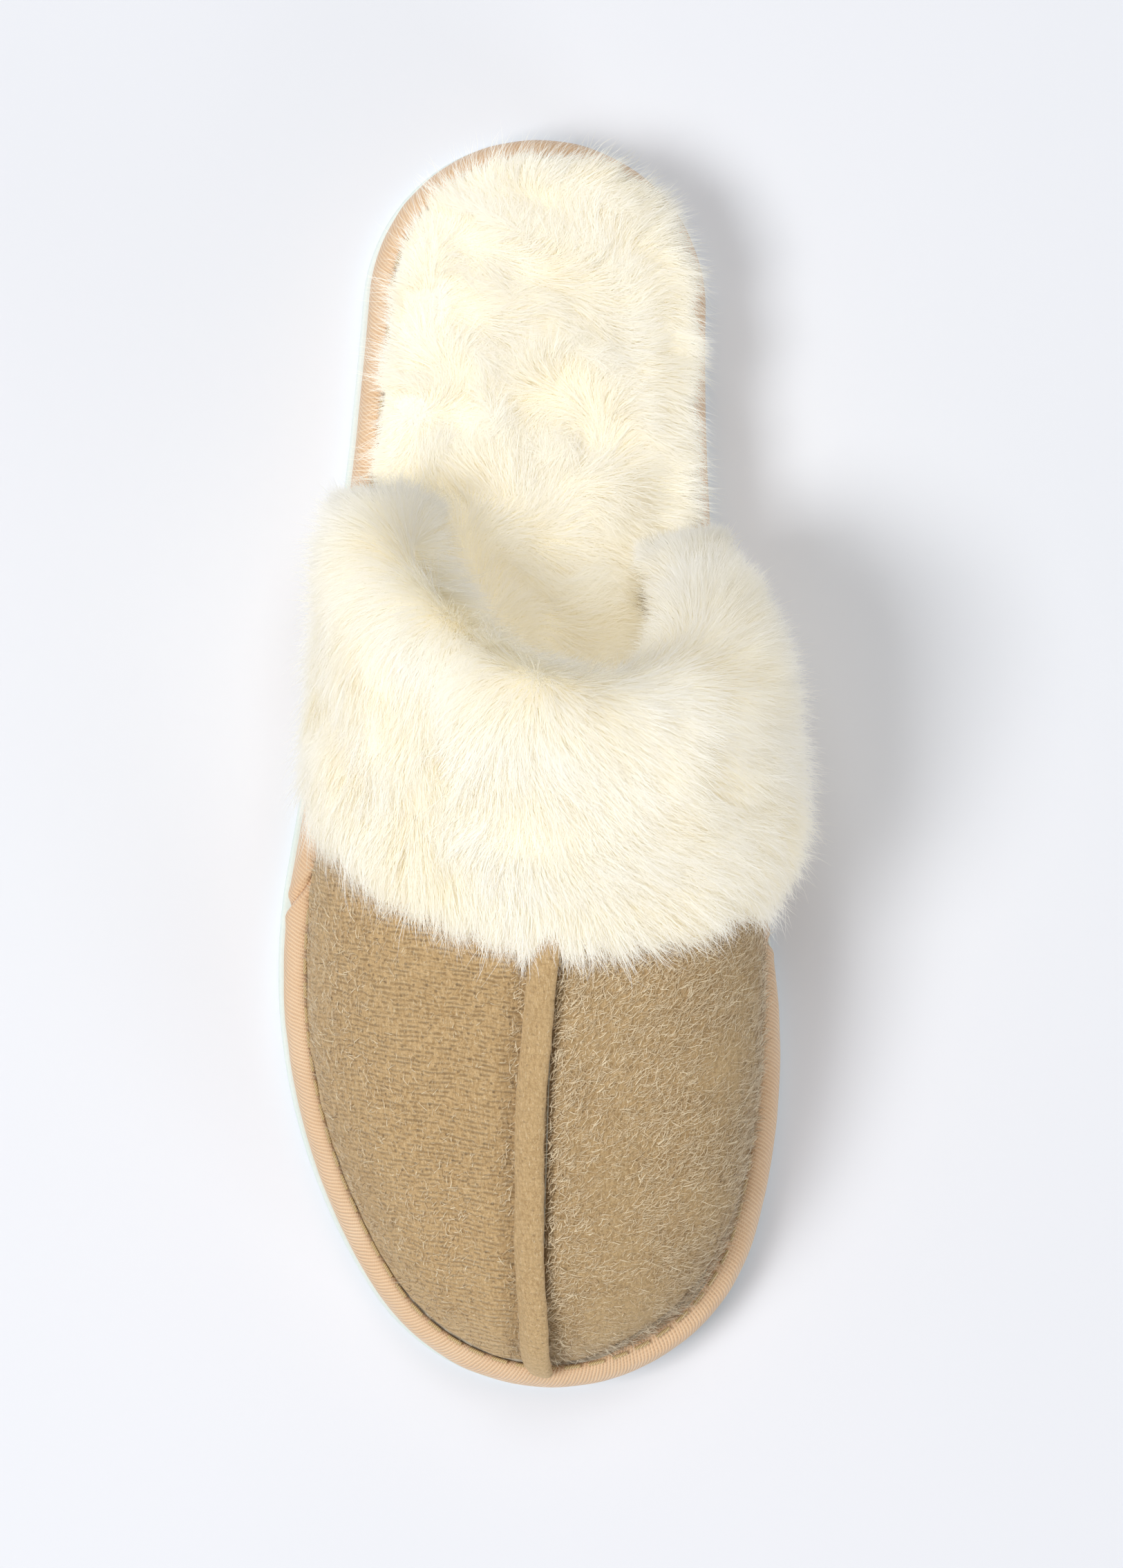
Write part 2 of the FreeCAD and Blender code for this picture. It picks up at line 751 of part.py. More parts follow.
def make_collar(upper, width):
    """The plush cuff, folded over the mouth's edge."""
    outer, inner = [], []
    for along in steps(0, 1, 33):
        path = mouth_path(upper, along, width)
        count = len(path) - 1
        inner.append([point for point, _direction, _floor in path])
        outer.append([
            raised(point + direction * collar_thickness(along, i / count), floor)
            for i, (point, direction, floor) in enumerate(path)
        ])
    free_form("collar_fur", solid_between(outer, inner))


def make_topline_tape(upper, width):
    """A flat tape on the raw top edge of the layers, inside the cuff's fold."""
    outer, inner = [], []
    for along in steps(0.01, 0.99, 33):
        edge, _sideways, upward, normal = upper.frame(along, 1.0)
        row = [edge - normal * distance for distance in steps(1.0, width - 1.0, 4)]
        inner.append([point + upward * 0.2 for point in row])
        outer.append([point + upward * (0.2 + size("tape_thickness")) for point in row])
    free_form("topline_tape", solid_between(outer, inner))


# ---------------------------------------------------------------- sewing


def stitch(middle, direction, length=None):
    """One visible length of thread."""
    length = length or size("stitch_length")
    start = middle - direction * (length / 2)
    return Part.makeCylinder(size("thread_radius"), length, start, direction)


def make_perimeter_stitches():
    """Sewing in the groove between the strip and what stands inside it, all round."""
    track = Track(size("wrap_lip_inset") - 0.35)
    height = size("wrap_top") + size("thread_radius") + 0.05
    count = round(track.length / size("stitch_pitch"))
    threads = []
    for i in range(count):
        point, outward = track.at(track.length * (i + 0.5) / count)
        point.z = height
        threads.append(stitch(point, outward.cross(UP)))
    free_form("perimeter_stitches", Part.makeCompound(threads))


def make_wrap_join_stitches():
    """Three short stitches across each slanting join, round the strip's top corner."""
    track = Track(size("no_inset"))
    radius = size("wrap_top_radius")
    threads = []
    joins = ((size("lateral_join_y"), True, 1), (size("medial_join_y"), False, -1))
    for join_y, lateral, turn in joins:
        for degrees in (15, 45, 75):
            angle = math.radians(degrees)
            inward = radius * (1 - math.cos(angle))
            join_here = join_y + size("join_slope") * inward
            point, outward = track.at(track.side_distance(join_here, lateral))
            arm = outward * math.cos(angle) + UP * math.sin(angle)
            clear = radius + size("thread_radius") + 0.05
            centre = point - outward * radius
            centre.z = size("wrap_top") - radius
            along = outward.cross(UP) * turn
            threads.append(stitch(centre + arm * clear, along, 2.6))
    free_form("wrap_join_stitches", Part.makeCompound(threads))


def spaced_along(point_at, first, last, pitch):
    """Values of along, spaced so that the points they give are one pitch apart."""
    values = []
    walked = pitch
    before = point_at(first)
    for along in steps(first, last, 1200):
        point = point_at(along)
        walked += (point - before).Length
        before = point
        if walked >= pitch:
            values.append(along)
            walked = 0.0
    return values


def make_seam_stitches(upper, label, row, lift, first, last):
    """Stitches that lie on the upper along a row given as a rise for each along."""
    def place(along):
        return upper.offset(along, row(along), lift)

    threads = []
    for along in spaced_along(place, first, last, size("stitch_pitch")):
        direction = (place(along + 0.003) - place(along - 0.003)).normalize()
        threads.append(stitch(place(along), direction))
    free_form(label, Part.makeCompound(threads))


def make_centre_stitches(upper):
    """Short stitches across the centre seam, under the welt."""
    threads = []
    lift = size("thread_radius") * 0.5 + 0.1
    thread = size("thread_radius") * 0.5
    length = upper_length(upper, 0.5) * upper.seam_rise(0.5)
    count = int(length / size("stitch_pitch"))
    for rise in steps(0.03, upper.seam_rise(0.5), count):
        point, sideways, _upward, normal = upper.frame(0.5, rise)
        start = point + normal * lift - sideways
        threads.append(Part.makeCylinder(thread, 2, start, sideways))
    free_form("centre_seam_stitches", Part.makeCompound(threads))


def make_sewing(upper, width):
    make_perimeter_stitches()
    make_wrap_join_stitches()
    make_centre_stitches(upper)
    seam_lift = size("thread_radius") + 0.1

    def below_collar(along):
        return upper.seam_rise(along) - 1.4 / upper_length(upper, along)

    fronts = [a for a in steps(0, 1, 401) if upper.seam_rise(a) > 0.12]
    make_seam_stitches(upper, "collar_seam_stitches", below_collar, seam_lift,
                       fronts[0], fronts[-1])

    def below_fold(along):
        return 1 - (fold_depth(upper, along) + 1.6) / upper_length(upper, along)

    make_seam_stitches(upper, "mouth_seam_stitches", below_fold, -width - seam_lift,
                       0.08, 0.92)


# ---------------------------------------------------------------- whole slipper

NODES = [
    "outsole", "platform_foam", "wrap_toe", "wrap_heel", "insole_board", "footbed_foam",
    "insole_fur", "vamp_lateral", "vamp_medial", "centre_welt", "vamp_foam",
    "vamp_lining_fur", "collar_fur", "topline_tape", "perimeter_stitches",
    "wrap_join_stitches", "collar_seam_stitches", "mouth_seam_stitches",
    "centre_seam_stitches",
]


def build():
    make_outsole()
    platform = slab("platform_foam", "wrap_thickness", "platform_bottom", "platform_top",
                    "platform_top_radius", "platform_bottom_radius")
    make_wrap(platform)
    slab("insole_board", "board_inset", "platform_top", "board_top")
    make_layer_with_open_heel("footbed_foam", "board_top", "footbed_top")
    make_layer_with_open_heel("insole_fur", "footbed_top", "sock_top", "sock_edge_radius")
    upper = Upper()
    width = make_upper_layers(upper)
    make_welt(upper)
    make_collar(upper, width)
    make_topline_tape(upper, width)
    make_sewing(upper, width)
    doc.recompute()


def check_and_write():
    """Stop on any failed object or bad shape, then write one file for each sub-part."""
    for item in doc.Objects:
        if "Invalid" in item.State or "Error" in item.State:
            raise RuntimeError(f"{item.Label} failed: {item.State}")
    os.makedirs("parts", exist_ok=True)
    for name in NODES:
        shape = doc.getObjectsByLabel(name)[0].Shape
        if shape.isNull() or not shape.isValid():
            raise RuntimeError(f"{name} has a bad shape")
        shape.exportStep(f"parts/{name}.step")
        box = shape.BoundBox
        print(f"{name:22s} {len(shape.Solids):4d} solids {shape.Volume:10.0f} mm3 "
              f"x {box.XMin:6.1f} {box.XMax:6.1f} y {box.YMin:6.1f} {box.YMax:6.1f} "
              f"z {box.ZMin:5.1f} {box.ZMax:5.1f}")


build()
check_and_write()
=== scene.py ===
"""Looks of the fluffy house slipper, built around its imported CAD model.

Lengths are millimetres until a mesh is made.  The heel points along +Y, the toe along -Y,
the big-toe side along +X and the floor is z = 0.
"""
import math

import bpy
import numpy as np
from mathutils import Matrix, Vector
from mathutils.bvhtree import BVHTree
from mathutils.kdtree import KDTree


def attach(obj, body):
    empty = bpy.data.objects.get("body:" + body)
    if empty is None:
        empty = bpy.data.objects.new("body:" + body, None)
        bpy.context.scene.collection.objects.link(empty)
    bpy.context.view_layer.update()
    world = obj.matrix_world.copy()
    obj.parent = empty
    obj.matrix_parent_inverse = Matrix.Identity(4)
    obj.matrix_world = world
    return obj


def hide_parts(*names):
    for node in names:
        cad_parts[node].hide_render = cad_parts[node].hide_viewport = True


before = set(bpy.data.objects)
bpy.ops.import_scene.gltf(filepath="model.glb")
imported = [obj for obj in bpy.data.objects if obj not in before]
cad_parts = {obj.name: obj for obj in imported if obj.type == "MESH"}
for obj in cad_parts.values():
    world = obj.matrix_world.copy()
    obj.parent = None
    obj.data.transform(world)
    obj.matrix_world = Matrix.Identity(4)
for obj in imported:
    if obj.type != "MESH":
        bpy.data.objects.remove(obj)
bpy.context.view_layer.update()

MM = 0.001
UP = Vector((0, 0, 1))
SEED = 519
# Plan points that are measured against the outline at a time, to save memory.
BATCH = 20000

# Plan of the mouth's edge, from the little-toe end, with its height as a share.
MOUTH_EDGE = [(-32.5, 50, 0.50), (-28, 35, 0.72), (-14, 18, 0.93), (7, 8, 1.0),
              (27, 9, 0.94), (37, 22, 0.74), (33.5, 43, 0.50)]
MOUTH_HEIGHT = 71.0
# The upper stands this far in from the sole's outline.
UPPER_INSET = 5.6
UPPER_WIDTH = 6.6
# Heights above the floor.
STRIP_FOOT = 4.02
SUEDE_FOOT = 15.9
UPPER_FOOT = 16.25
WRAP_TOP = 16.4
PAD_TOP = 20.3
SOCK_TOP = 27.2
# Middle of the toe's arc, where the centre seam starts, and the crease in the cuff.
TOE_CENTRE = (4.0, -84.5)
SEAM_START_Y = -122.0
CREASE_X = -21.7
# Thickness of the layers; the wadding and lining lie this deep below the suede's face.
SUEDE_THICK = 1.1
SATIN_THICK = 1.05
SOCK_THICK = 4.6
WADDING_DEPTHS = (1.6, 3.35)
LINING_DEPTHS = (3.45, 5.2)

# Length of the pile, and the most fibres on a square millimetre.
CUFF_PILE, CUFF_DENSITY = 11.5, 11.5
SOCK_PILE, SOCK_DENSITY = 9.5, 11.0
LINING_PILE, LINING_DENSITY = 6.0, 3.1
# Steps along each fibre, the most fibres in one piece, and the fibres on a square
# millimetre that the number of tufts is worked out from.
STRAND_STEPS = 4
PIECE_STRANDS = 27000
TUFT_DENSITY = 6.0

# The camera looks straight down at CAMERA_PLAN, from CAMERA_AWAY above the height of the
# sole's widest outline, and there it sees SEEN_LENGTH from heel to toe.
CAMERA_PLAN = (5.74, -4.18)
CAMERA_AWAY = 900
MIDDLE_HEIGHT = 8
SEEN_LENGTH = 321.3756


# ---------------------------------------------------------------- sole outline


def tangent_centre(one, other, radius, convex):
    """Centre of the arc that touches two circles given as (complex centre, radius)."""
    to_one = radius - one[1] if convex else radius + one[1]
    to_other = radius - other[1] if convex else radius + other[1]
    between = other[0] - one[0]
    apart = abs(between)
    along = (to_one**2 - to_other**2 + apart**2) / (2 * apart)
    aside = math.sqrt(to_one**2 - along**2)
    return one[0] + between / apart * complex(along, aside if convex else -aside)


def sole_outline():
    """Points about half a millimetre apart round the sole, from the back of the heel down
    the little-toe side and back up the big-toe side, and the outward directions there."""
    heel = (complex(0.8, 93.0), 34.5)
    toe = (complex(*TOE_CENTRE), 43.0)

    def ball(radius, centre_y, side):
        """The circle at the ball of the foot that touches the toe's circle."""
        across = math.sqrt((radius - toe[1]) ** 2 - (centre_y - toe[0].imag) ** 2)
        return (complex(toe[0].real - side * across, centre_y), radius)

    lateral, medial = ball(120.0, -43.0, -1), ball(137.0, -59.0, 1)
    side = (tangent_centre(heel, lateral, 1170.0, False), 1170.0)
    waist = (tangent_centre(medial, heel, 520.0, False), 520.0)

    def touch(anchor, link, convex):
        """The point where the link's arc touches the anchor's."""
        away = anchor[0] - link[0] if convex else link[0] - anchor[0]
        return anchor[0] + away * (anchor[1] / abs(away))

    back = heel[0] + 1j * heel[1]
    joints = [back, touch(heel, side, False), touch(lateral, side, False),
              touch(toe, lateral, True), touch(toe, medial, True),
              touch(medial, waist, False), touch(heel, waist, False), back]
    circles = [heel, side, lateral, toe, medial, waist, heel]
    hollow = [False, True, False, False, False, True, False]
    spacing = 0.5
    points, outward = [], []
    for (centre, radius), inward, start, end in zip(circles, hollow, joints[:-1], joints[1:]):
        first = math.atan2((start - centre).imag, (start - centre).real)
        last = math.atan2((end - centre).imag, (end - centre).real)
        if inward and last > first:
            last -= 2 * math.pi
        if not inward and last < first:
            last += 2 * math.pi
        count = max(int(abs(last - first) * radius / spacing), 2)
        angles = np.linspace(first, last, count, endpoint=False)
        ray = np.stack([np.cos(angles), np.sin(angles)], 1)
        points.append(ray * radius + [centre.real, centre.imag])
        outward.append(-ray if inward else ray)
    points.append(points[0][:1])
    outward.append(outward[0][:1])
    return np.concatenate(points), np.concatenate(outward)


OUTLINE, OUTWARD = sole_outline()


class Track:
    """The outline moved inward, followed by distance from the back of the heel."""

    def __init__(self, inset):
        self.points = OUTLINE - OUTWARD * inset
        gaps = np.linalg.norm(np.diff(self.points, axis=0), axis=1)
        self.distance = np.concatenate([[0.0], np.cumsum(gaps)])
        self.length = self.distance[-1]

    def sample(self, distance):
        """Plan points and outward directions at an array of distances."""
        distance = np.asarray(distance, float) % self.length
        point = np.stack([np.interp(distance, self.distance, self.points[:, i])
                          for i in (0, 1)], -1)
        outward = np.stack([np.interp(distance, self.distance, OUTWARD[:, i])
                            for i in (0, 1)], -1)
        return point, outward

    def at(self, distance):
        """The same at one distance, as vectors."""
        point, outward = self.sample([distance])
        return Vector((*point[0], 0)), Vector((*outward[0], 0)).normalized()

    def toe_distance(self, seam_x):
        """Distance at which the track passes this x at the toe."""
        near = self.points[:, 1] < -100
        return float(np.interp(seam_x, self.points[near, 0], self.distance[near]))

    def side_distance(self, height_y, lateral):
        """Distance at which the track passes this y on one side."""
        lowest = int(np.argmin(self.points[:, 1]))
        if lateral:
            part = slice(0, lowest)
            return float(np.interp(-height_y, -self.points[part, 1], self.distance[part]))
        part = slice(lowest, None)
        return float(np.interp(height_y, self.points[part, 1], self.distance[part]))


def inside_distance(points):
    """How far inside the sole outline each plan point is, negative outside it."""
    coarse = OUTLINE[::4]
    normals = OUTWARD[::4]
    result = np.empty(len(points))
    for start in range(0, len(points), BATCH):
        part = points[start:start + BATCH]
        near = ((part[:, None, :] - coarse[None]) ** 2).sum(-1).argmin(1)
        result[start:start + BATCH] = ((coarse[near] - part) * normals[near]).sum(1)
    return result


# ---------------------------------------------------------------- upper

def ease(value):
    """Smooth step from 0 to 1, for a number or an array."""
    value = np.clip(value, 0.0, 1.0)
    return value * value * (3 - 2 * value)


def natural_spline(points):
    """Smooth curve through the points, as a function of a share of its chord length."""
    points = np.array(points, float)
    gaps = np.linalg.norm(np.diff(points, axis=0), axis=1)
    knots = np.concatenate([[0.0], np.cumsum(gaps)])
    count = len(points)
    system, right = np.eye(count), np.zeros((count, 3))
    for i in range(1, count - 1):
        before, after = gaps[i - 1], gaps[i]
        system[i, i - 1:i + 2] = before, 2 * (before + after), after
        right[i] = 6 * ((points[i + 1] - points[i]) / after
                        - (points[i] - points[i - 1]) / before)
    bend = np.linalg.solve(system, right)

    def value(share):
        where = min(max(share, 0.0), 1.0) * knots[-1]
        i = min(int(np.searchsorted(knots, where, side="right")) - 1, count - 2)
        gap = gaps[i]
        a, b = (knots[i + 1] - where) / gap, (where - knots[i]) / gap
        return (a * points[i] + b * points[i + 1]
                + ((a**3 - a) * bend[i] + (b**3 - b) * bend[i + 1]) * gap**2 / 6)

    return value


class Upper:
    """The outer face of the upper.  along runs 0 to 1 from the little-toe end round the toe
    to the big-toe end, and rise runs 0 to 1 from the sole to the mouth's edge."""

    def __init__(self):
        self.foot = Track(UPPER_INSET)
        self.start = self.foot.side_distance(50.0, True)
        self.middle = self.foot.toe_distance(1.3)
        self.end = self.foot.side_distance(43.0, False)
        self.mouth = natural_spline([(x, y, share * MOUTH_HEIGHT)
                                     for x, y, share in MOUTH_EDGE])

    def mouth_point(self, along):
        return Vector(self.mouth(along))

    def profile(self, along):
        """Four control points of the curve from the sole to the mouth's edge."""
        if along <= 0.5:
            distance = self.start + (self.middle - self.start) * along * 2
        else:
            distance = self.middle + (self.end - self.middle) * (along * 2 - 1)
        foot, outward = self.foot.at(distance)
        foot.z = UPPER_FOOT
        top = self.mouth_point(along)
        flat = Vector((foot.x - top.x, foot.y - top.y, 0))
        height = top.z - foot.z
        slack = flat.length / (flat.length + height)
        medial = float(ease((along - 0.6) / 0.25))
        medial *= 1 - 0.6 * float(ease((along - 0.86) / 0.14))
        lower = foot + outward * (1.0 + 5.5 * medial) + UP * (height * (0.40 + 0.20 * slack))
        drop = height * 0.33 * (1 - slack) + flat.length * 0.07
        upper = top + flat * 0.42 + outward * (1.0 + 4.0 * medial) - UP * drop
        return foot, lower, upper, top

    def at(self, along, rise):
        foot, lower, upper, top = self.profile(along)
        rest = 1 - rise
        return (foot * rest**3 + lower * (3 * rest**2 * rise)
                + upper * (3 * rest * rise**2) + top * rise**3)

    def frame(self, along, rise):
        """Point, direction along the upper, direction up the upper, and outward normal."""
        step = 0.002
        before, after = max(along - step, 0), min(along + step, 1)
        low, high = max(rise - step, 0), min(rise + step, 1)
        sideways = (self.at(after, rise) - self.at(before, rise)).normalized()
        upward = (self.at(along, high) - self.at(along, low)).normalized()
        return self.at(along, rise), sideways, upward, sideways.cross(upward).normalized()

    def offset(self, along, rise, distance):
        point, _sideways, _upward, normal = self.frame(along, rise)
        moved = point + normal * distance
        if rise == 0:
            moved.z = UPPER_FOOT
        return moved

    def seam_rise(self, along):
        """How far up the cuff's lower edge crosses."""
        lowest = 0.05
        point = self.at(along, lowest)
        if point.y >= cuff_line_y(point.x):
            return lowest
        low, high = lowest, 1.0
        for _ in range(24):
            middle = (low + high) / 2
            point = self.at(along, middle)
            low, high = (low, middle) if point.y >= cuff_line_y(point.x) else (middle, high)
        return (low + high) / 2


def cuff_line_y(across):
    """Plan of the cuff's lower edge: two parabolas that meet at its front."""
    from_front = across - 8.0
    rise, reach = (27.0, 53.0) if from_front < 0 else (9.0, 39.0)
    return -33.0 + rise * (from_front / reach) ** 2


def weights(count, share):
    """Weights of a clamped cubic B-spline's control points at shares of its length."""
    spans = count - 3
    knots = np.concatenate([np.zeros(3), np.arange(spans + 1), np.full(3, spans)])
    x = np.clip(np.asarray(share, float), 0, 1 - 1e-9) * spans
    table = ((x[:, None] >= knots[:-1]) & (x[:, None] < knots[1:])).astype(float)
    for degree in range(1, 4):
        width = knots[degree:-1] - knots[:-degree - 1]
        after = knots[degree + 1:] - knots[1:-degree]
        rise = np.divide(x[:, None] - knots[:-degree - 1], width, where=width > 0,
                         out=np.zeros((len(x), len(width))))
        fall = np.divide(knots[degree + 1:] - x[:, None], after, where=after > 0,
                         out=np.zeros((len(x), len(after))))
        table = rise * table[:, :-1] + fall * table[:, 1:]
    return table


class Net:
    """The smooth surface that a net of control points pulls into shape."""

    def __init__(self, poles):
        self.poles = np.array([[tuple(p) for p in row] for row in poles], float)

    def at(self, u, v):
        rows, columns, _ = self.poles.shape
        strips = weights(rows, u) @ self.poles.reshape(rows, columns * 3)
        strips = strips.reshape(-1, columns, 3)
        return (strips * weights(columns, v)[:, :, None]).sum(1)

    def grid(self, u, v):
        rows, columns, _ = self.poles.shape
        across = weights(columns, v)
        strips = (weights(rows, u) @ self.poles.reshape(rows, columns * 3))
        return np.einsum("ncx,mc->nmx", strips.reshape(-1, columns, 3), across)

    def slopes(self, u, v):
        """Unit directions along u and along v, and the unit normal between them."""
        step = 0.003
        one = unit(self.at(np.minimum(u + step, 1), v) - self.at(np.maximum(u - step, 0), v))
        two = unit(self.at(u, np.minimum(v + step, 1)) - self.at(u, np.maximum(v - step, 0)))
        return one, two, unit(np.cross(one, two))


def unit(vectors):
    """The vectors at length 1."""
    return vectors / np.maximum(np.linalg.norm(vectors, axis=-1, keepdims=True), 1e-9)


def steps(first, last, count):
    """Evenly spaced numbers, as plain floats."""
    return [first + (last - first) * i / (count - 1) for i in range(count)]


def shares(rows, columns):
    """Even shares from 0 to 1 for a grid's rows and columns."""
    return np.linspace(0, 1, rows), np.linspace(0, 1, columns)


def run_along(grid, axis):
    """Distance of each grid point from the first row (axis 0) or column (axis 1)."""
    gaps = np.linalg.norm(np.diff(grid, axis=axis), axis=-1)
    start = np.zeros_like(np.take(gaps, [0], axis))
    return np.concatenate([start, np.cumsum(gaps, axis)], axis)


def raised(grid, lowest):
    """The grid with no point below this height."""
    grid[..., 2] = np.maximum(grid[..., 2], lowest)
    return grid


def layer_net(upper, first, last, count, offset):
    """Part of the upper's face, moved outward by the offset."""
    return Net([[upper.offset(a, r, offset) for r in steps(0, 1, 11)]
                for a in steps(first, last, count)])


def cuff_nets(upper):
    """The cuff's outer and inner faces: over the outside of the upper, round its top edge
    and down inside.  Each step of the path is a point on the upper, the way the cuff
    thickens there, and the lowest height its face may have."""
    outer, inner = [], []
    least = 2.5
    low_outside, low_inside = WRAP_TOP + 1.2, SOCK_TOP + 0.8
    half = UPPER_WIDTH / 2
    for along in steps(0, 1, 33):
        path = []
        for rise in steps(upper.seam_rise(along), 1, 10):
            point, _sideways, _upward, normal = upper.frame(along, rise)
            level = Vector((normal.x, normal.y, max(normal.z, 0.0))).normalized()
            path.append((point + normal * 0.5, level, low_outside))
        edge, _sideways, upward, normal = upper.frame(along, 1.0)
        centre = edge - normal * half
        for turn in steps(30, 150, 5):
            angle = math.radians(turn)
            lift = 2.4 * math.sin(angle) ** 0.7
            spread = normal * math.cos(angle) + upward * math.sin(angle)
            point = centre + normal * ((half + 0.4) * math.cos(angle)) + upward * lift
            path.append((point, spread, low_outside))
        rows = [upper.at(along, rise) for rise in steps(0, 1, 12)]
        whole = sum((b - a).length for a, b in zip(rows, rows[1:]))
        depth = min(11.0, upper.mouth_point(along).z - SOCK_TOP - 1.3) / whole
        for share in (0.1, 0.55, 1.0):
            point, _sideways, _upward, normal = upper.frame(along, 1 - share * depth)
            path.append((point - normal * (UPPER_WIDTH + 0.4), -normal, low_inside))
        full = 10.0 + 4.0 * float(ease((along - 0.35) / 0.4))
        ends = 0.55 + 0.45 * float(ease(min(along / 0.06, (1 - along) / 0.14)))
        inner_row, outer_row = [], []
        for i, (point, direction, floor) in enumerate(path):
            share = i / (len(path) - 1)
            thick = full * (1 - 0.45 * float(ease((share - 0.6) / 0.3))) - least
            thick = least + thick * math.sin(math.pi * share) ** 0.55 * ends
            moved = point + direction * thick
            inner_row.append(point)
            outer_row.append(Vector((moved.x, moved.y, max(moved.z, floor))))
        inner.append(inner_row)
        outer.append(outer_row)
    return Net(outer), Net(inner)


# ---------------------------------------------------------------- smooth randomness


class Hills:
    """Smooth random heights between about -1 and 1, the same on every run."""

    def __init__(self, scale, seed, waves=14):
        rng = np.random.default_rng(SEED + seed)
        direction = unit(rng.normal(size=(waves, 3)))
        length = scale * rng.uniform(0.6, 1.7, (waves, 1))
        self.wave = direction * (2 * math.pi / length)
        self.phase = rng.uniform(0, 2 * math.pi, waves)

    def __call__(self, points):
        swing = np.sin(points.reshape(-1, 3) @ self.wave.T + self.phase)
        height = swing.sum(1) * math.sqrt(2.0 / len(self.phase)) * 0.6
        return height.reshape(points.shape[:-1])


# ---------------------------------------------------------------- meshes


def link_object(name, data):
    """A new object of this data in the scene."""
    item = bpy.data.objects.new(name, data)
    bpy.context.scene.collection.objects.link(item)
    return item


def make_object(name, points, quads, triangles=None):
    """A smooth mesh object from millimetre points."""
    triangles = np.empty((0, 3), int) if triangles is None else triangles
    mesh = bpy.data.meshes.new(name)
    mesh.vertices.add(len(points))
    mesh.vertices.foreach_set("co", (points * MM).astype(np.float32).ravel())
    corners = np.concatenate([quads.ravel(), triangles.ravel()]).astype(np.int32)
    mesh.loops.add(len(corners))
    mesh.loops.foreach_set("vertex_index", corners)
    starts = np.concatenate([np.arange(len(quads)) * 4,
                             len(quads) * 4 + np.arange(len(triangles)) * 3])
    mesh.polygons.add(len(starts))
    mesh.polygons.foreach_set("loop_start", starts.astype(np.int32))
    mesh.update(calc_edges=True)
    mesh.polygons.foreach_set("use_smooth", np.ones(len(starts), bool))
    return link_object(name, mesh)


def finish_piece(piece, slot, material, *nodes):
    """Material, body and the CAD nodes that the piece stands for; slot is not used."""
    piece.data.materials.append(material)
    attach(piece, "root")
    if nodes:
        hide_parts(*nodes)


def quads_of(index):
    """Quads of a table of vertex numbers."""
    return np.stack([index[:-1, :-1], index[1:, :-1], index[1:, 1:], index[:-1, 1:]],
                    -1).reshape(-1, 4)


def closed_slab(name, outer, inner):
    """A closed solid between two grids of the same size; outer faces along u x v."""
    rows, columns, _ = outer.shape
    size = rows * columns
    index = np.arange(size).reshape(rows, columns)
    border = np.concatenate([index[:, 0], index[-1, 1:], index[-2::-1, -1],
                             index[0, -2:0:-1]])
    following = np.roll(border, -1)
    sides = np.stack([border, following, following + size, border + size], 1)[:, ::-1]
    quads = np.concatenate([quads_of(index), quads_of(index + size)[:, ::-1], sides])
    return make_object(name, np.concatenate([outer.reshape(-1, 3), inner.reshape(-1, 3)]),
                       quads)


def closed_tube(name, rings, paired=False):
    """A closed solid swept through rings of points.  Its ends are fans from their middles,
    but a paired last ring is closed straight across, each point to its mirror."""
    count, around, _ = rings.shape
    points = rings.reshape(-1, 3)
    index = np.arange(count * around).reshape(count, around)
    wrapped = np.concatenate([index, index[:, :1]], 1)
    quads = quads_of(wrapped)
    ends = rings[[0, -1]].mean(1)
    first, last = len(points), len(points) + 1
    start = np.stack([np.full(around, first), wrapped[0, :-1], wrapped[0, 1:]], 1)
    stop = np.stack([np.full(around, last), wrapped[-1, 1:], wrapped[-1, :-1]], 1)
    if paired:
        near = np.arange(1, around // 2 - 1)
        ring = wrapped[-1]
        bridge = np.stack([ring[near + 1], ring[near], ring[around - near],
                           ring[around - near - 1]], 1)
        points, ends = np.concatenate([points, ends[:1]]), ends[:0]
        quads = np.concatenate([quads, bridge])
        half = around // 2
        stop = np.array([[ring[1], ring[0], ring[around - 1]],
                         [ring[half + 1], ring[half], ring[half - 1]]])
    return make_object(name, np.concatenate([points, ends]), quads,
                       np.concatenate([start, stop]))


def grid_normals(points):
    """Unit normals of a grid of points, along u x v."""
    one, two = np.gradient(points, axis=0), np.gradient(points, axis=1)
    return unit(np.cross(one, two))


def layer_of(mesh, name, values):
    """A UV layer with one value pair for each vertex."""
    layer = mesh.uv_layers.new(name=name)
    corners = np.empty(len(mesh.loops), np.int32)
    mesh.loops.foreach_get("vertex_index", corners)
    layer.data.foreach_set("uv", values[corners].astype(np.float32).ravel())


# ---------------------------------------------------------------- cloth simulation

VOXEL = 2.4
PRESSURE = 4.0
CLOTH_FRAMES = 20
# Points that may move less than this are pinned.
PINNED = 0.25


def evaluated(piece):
    """A new mesh with the piece's modifiers in it."""
    graph = bpy.context.evaluated_depsgraph_get()
    return bpy.data.meshes.new_from_object(piece.evaluated_get(graph))


def coordinates(mesh):
    """The mesh's points in millimetres."""
    points = np.empty(len(mesh.vertices) * 3, np.float32)
    mesh.vertices.foreach_get("co", points)
    return points.reshape(-1, 3).astype(float) / MM


def bake(piece, kind, **settings):
    """Apply one modifier of this kind to the piece's mesh."""
    modifier = piece.modifiers.new(kind.lower(), kind)
    for key, value in settings.items():
        setattr(modifier, key, value)
    mesh = evaluated(piece)
    piece.modifiers.clear()
    piece.data = mesh


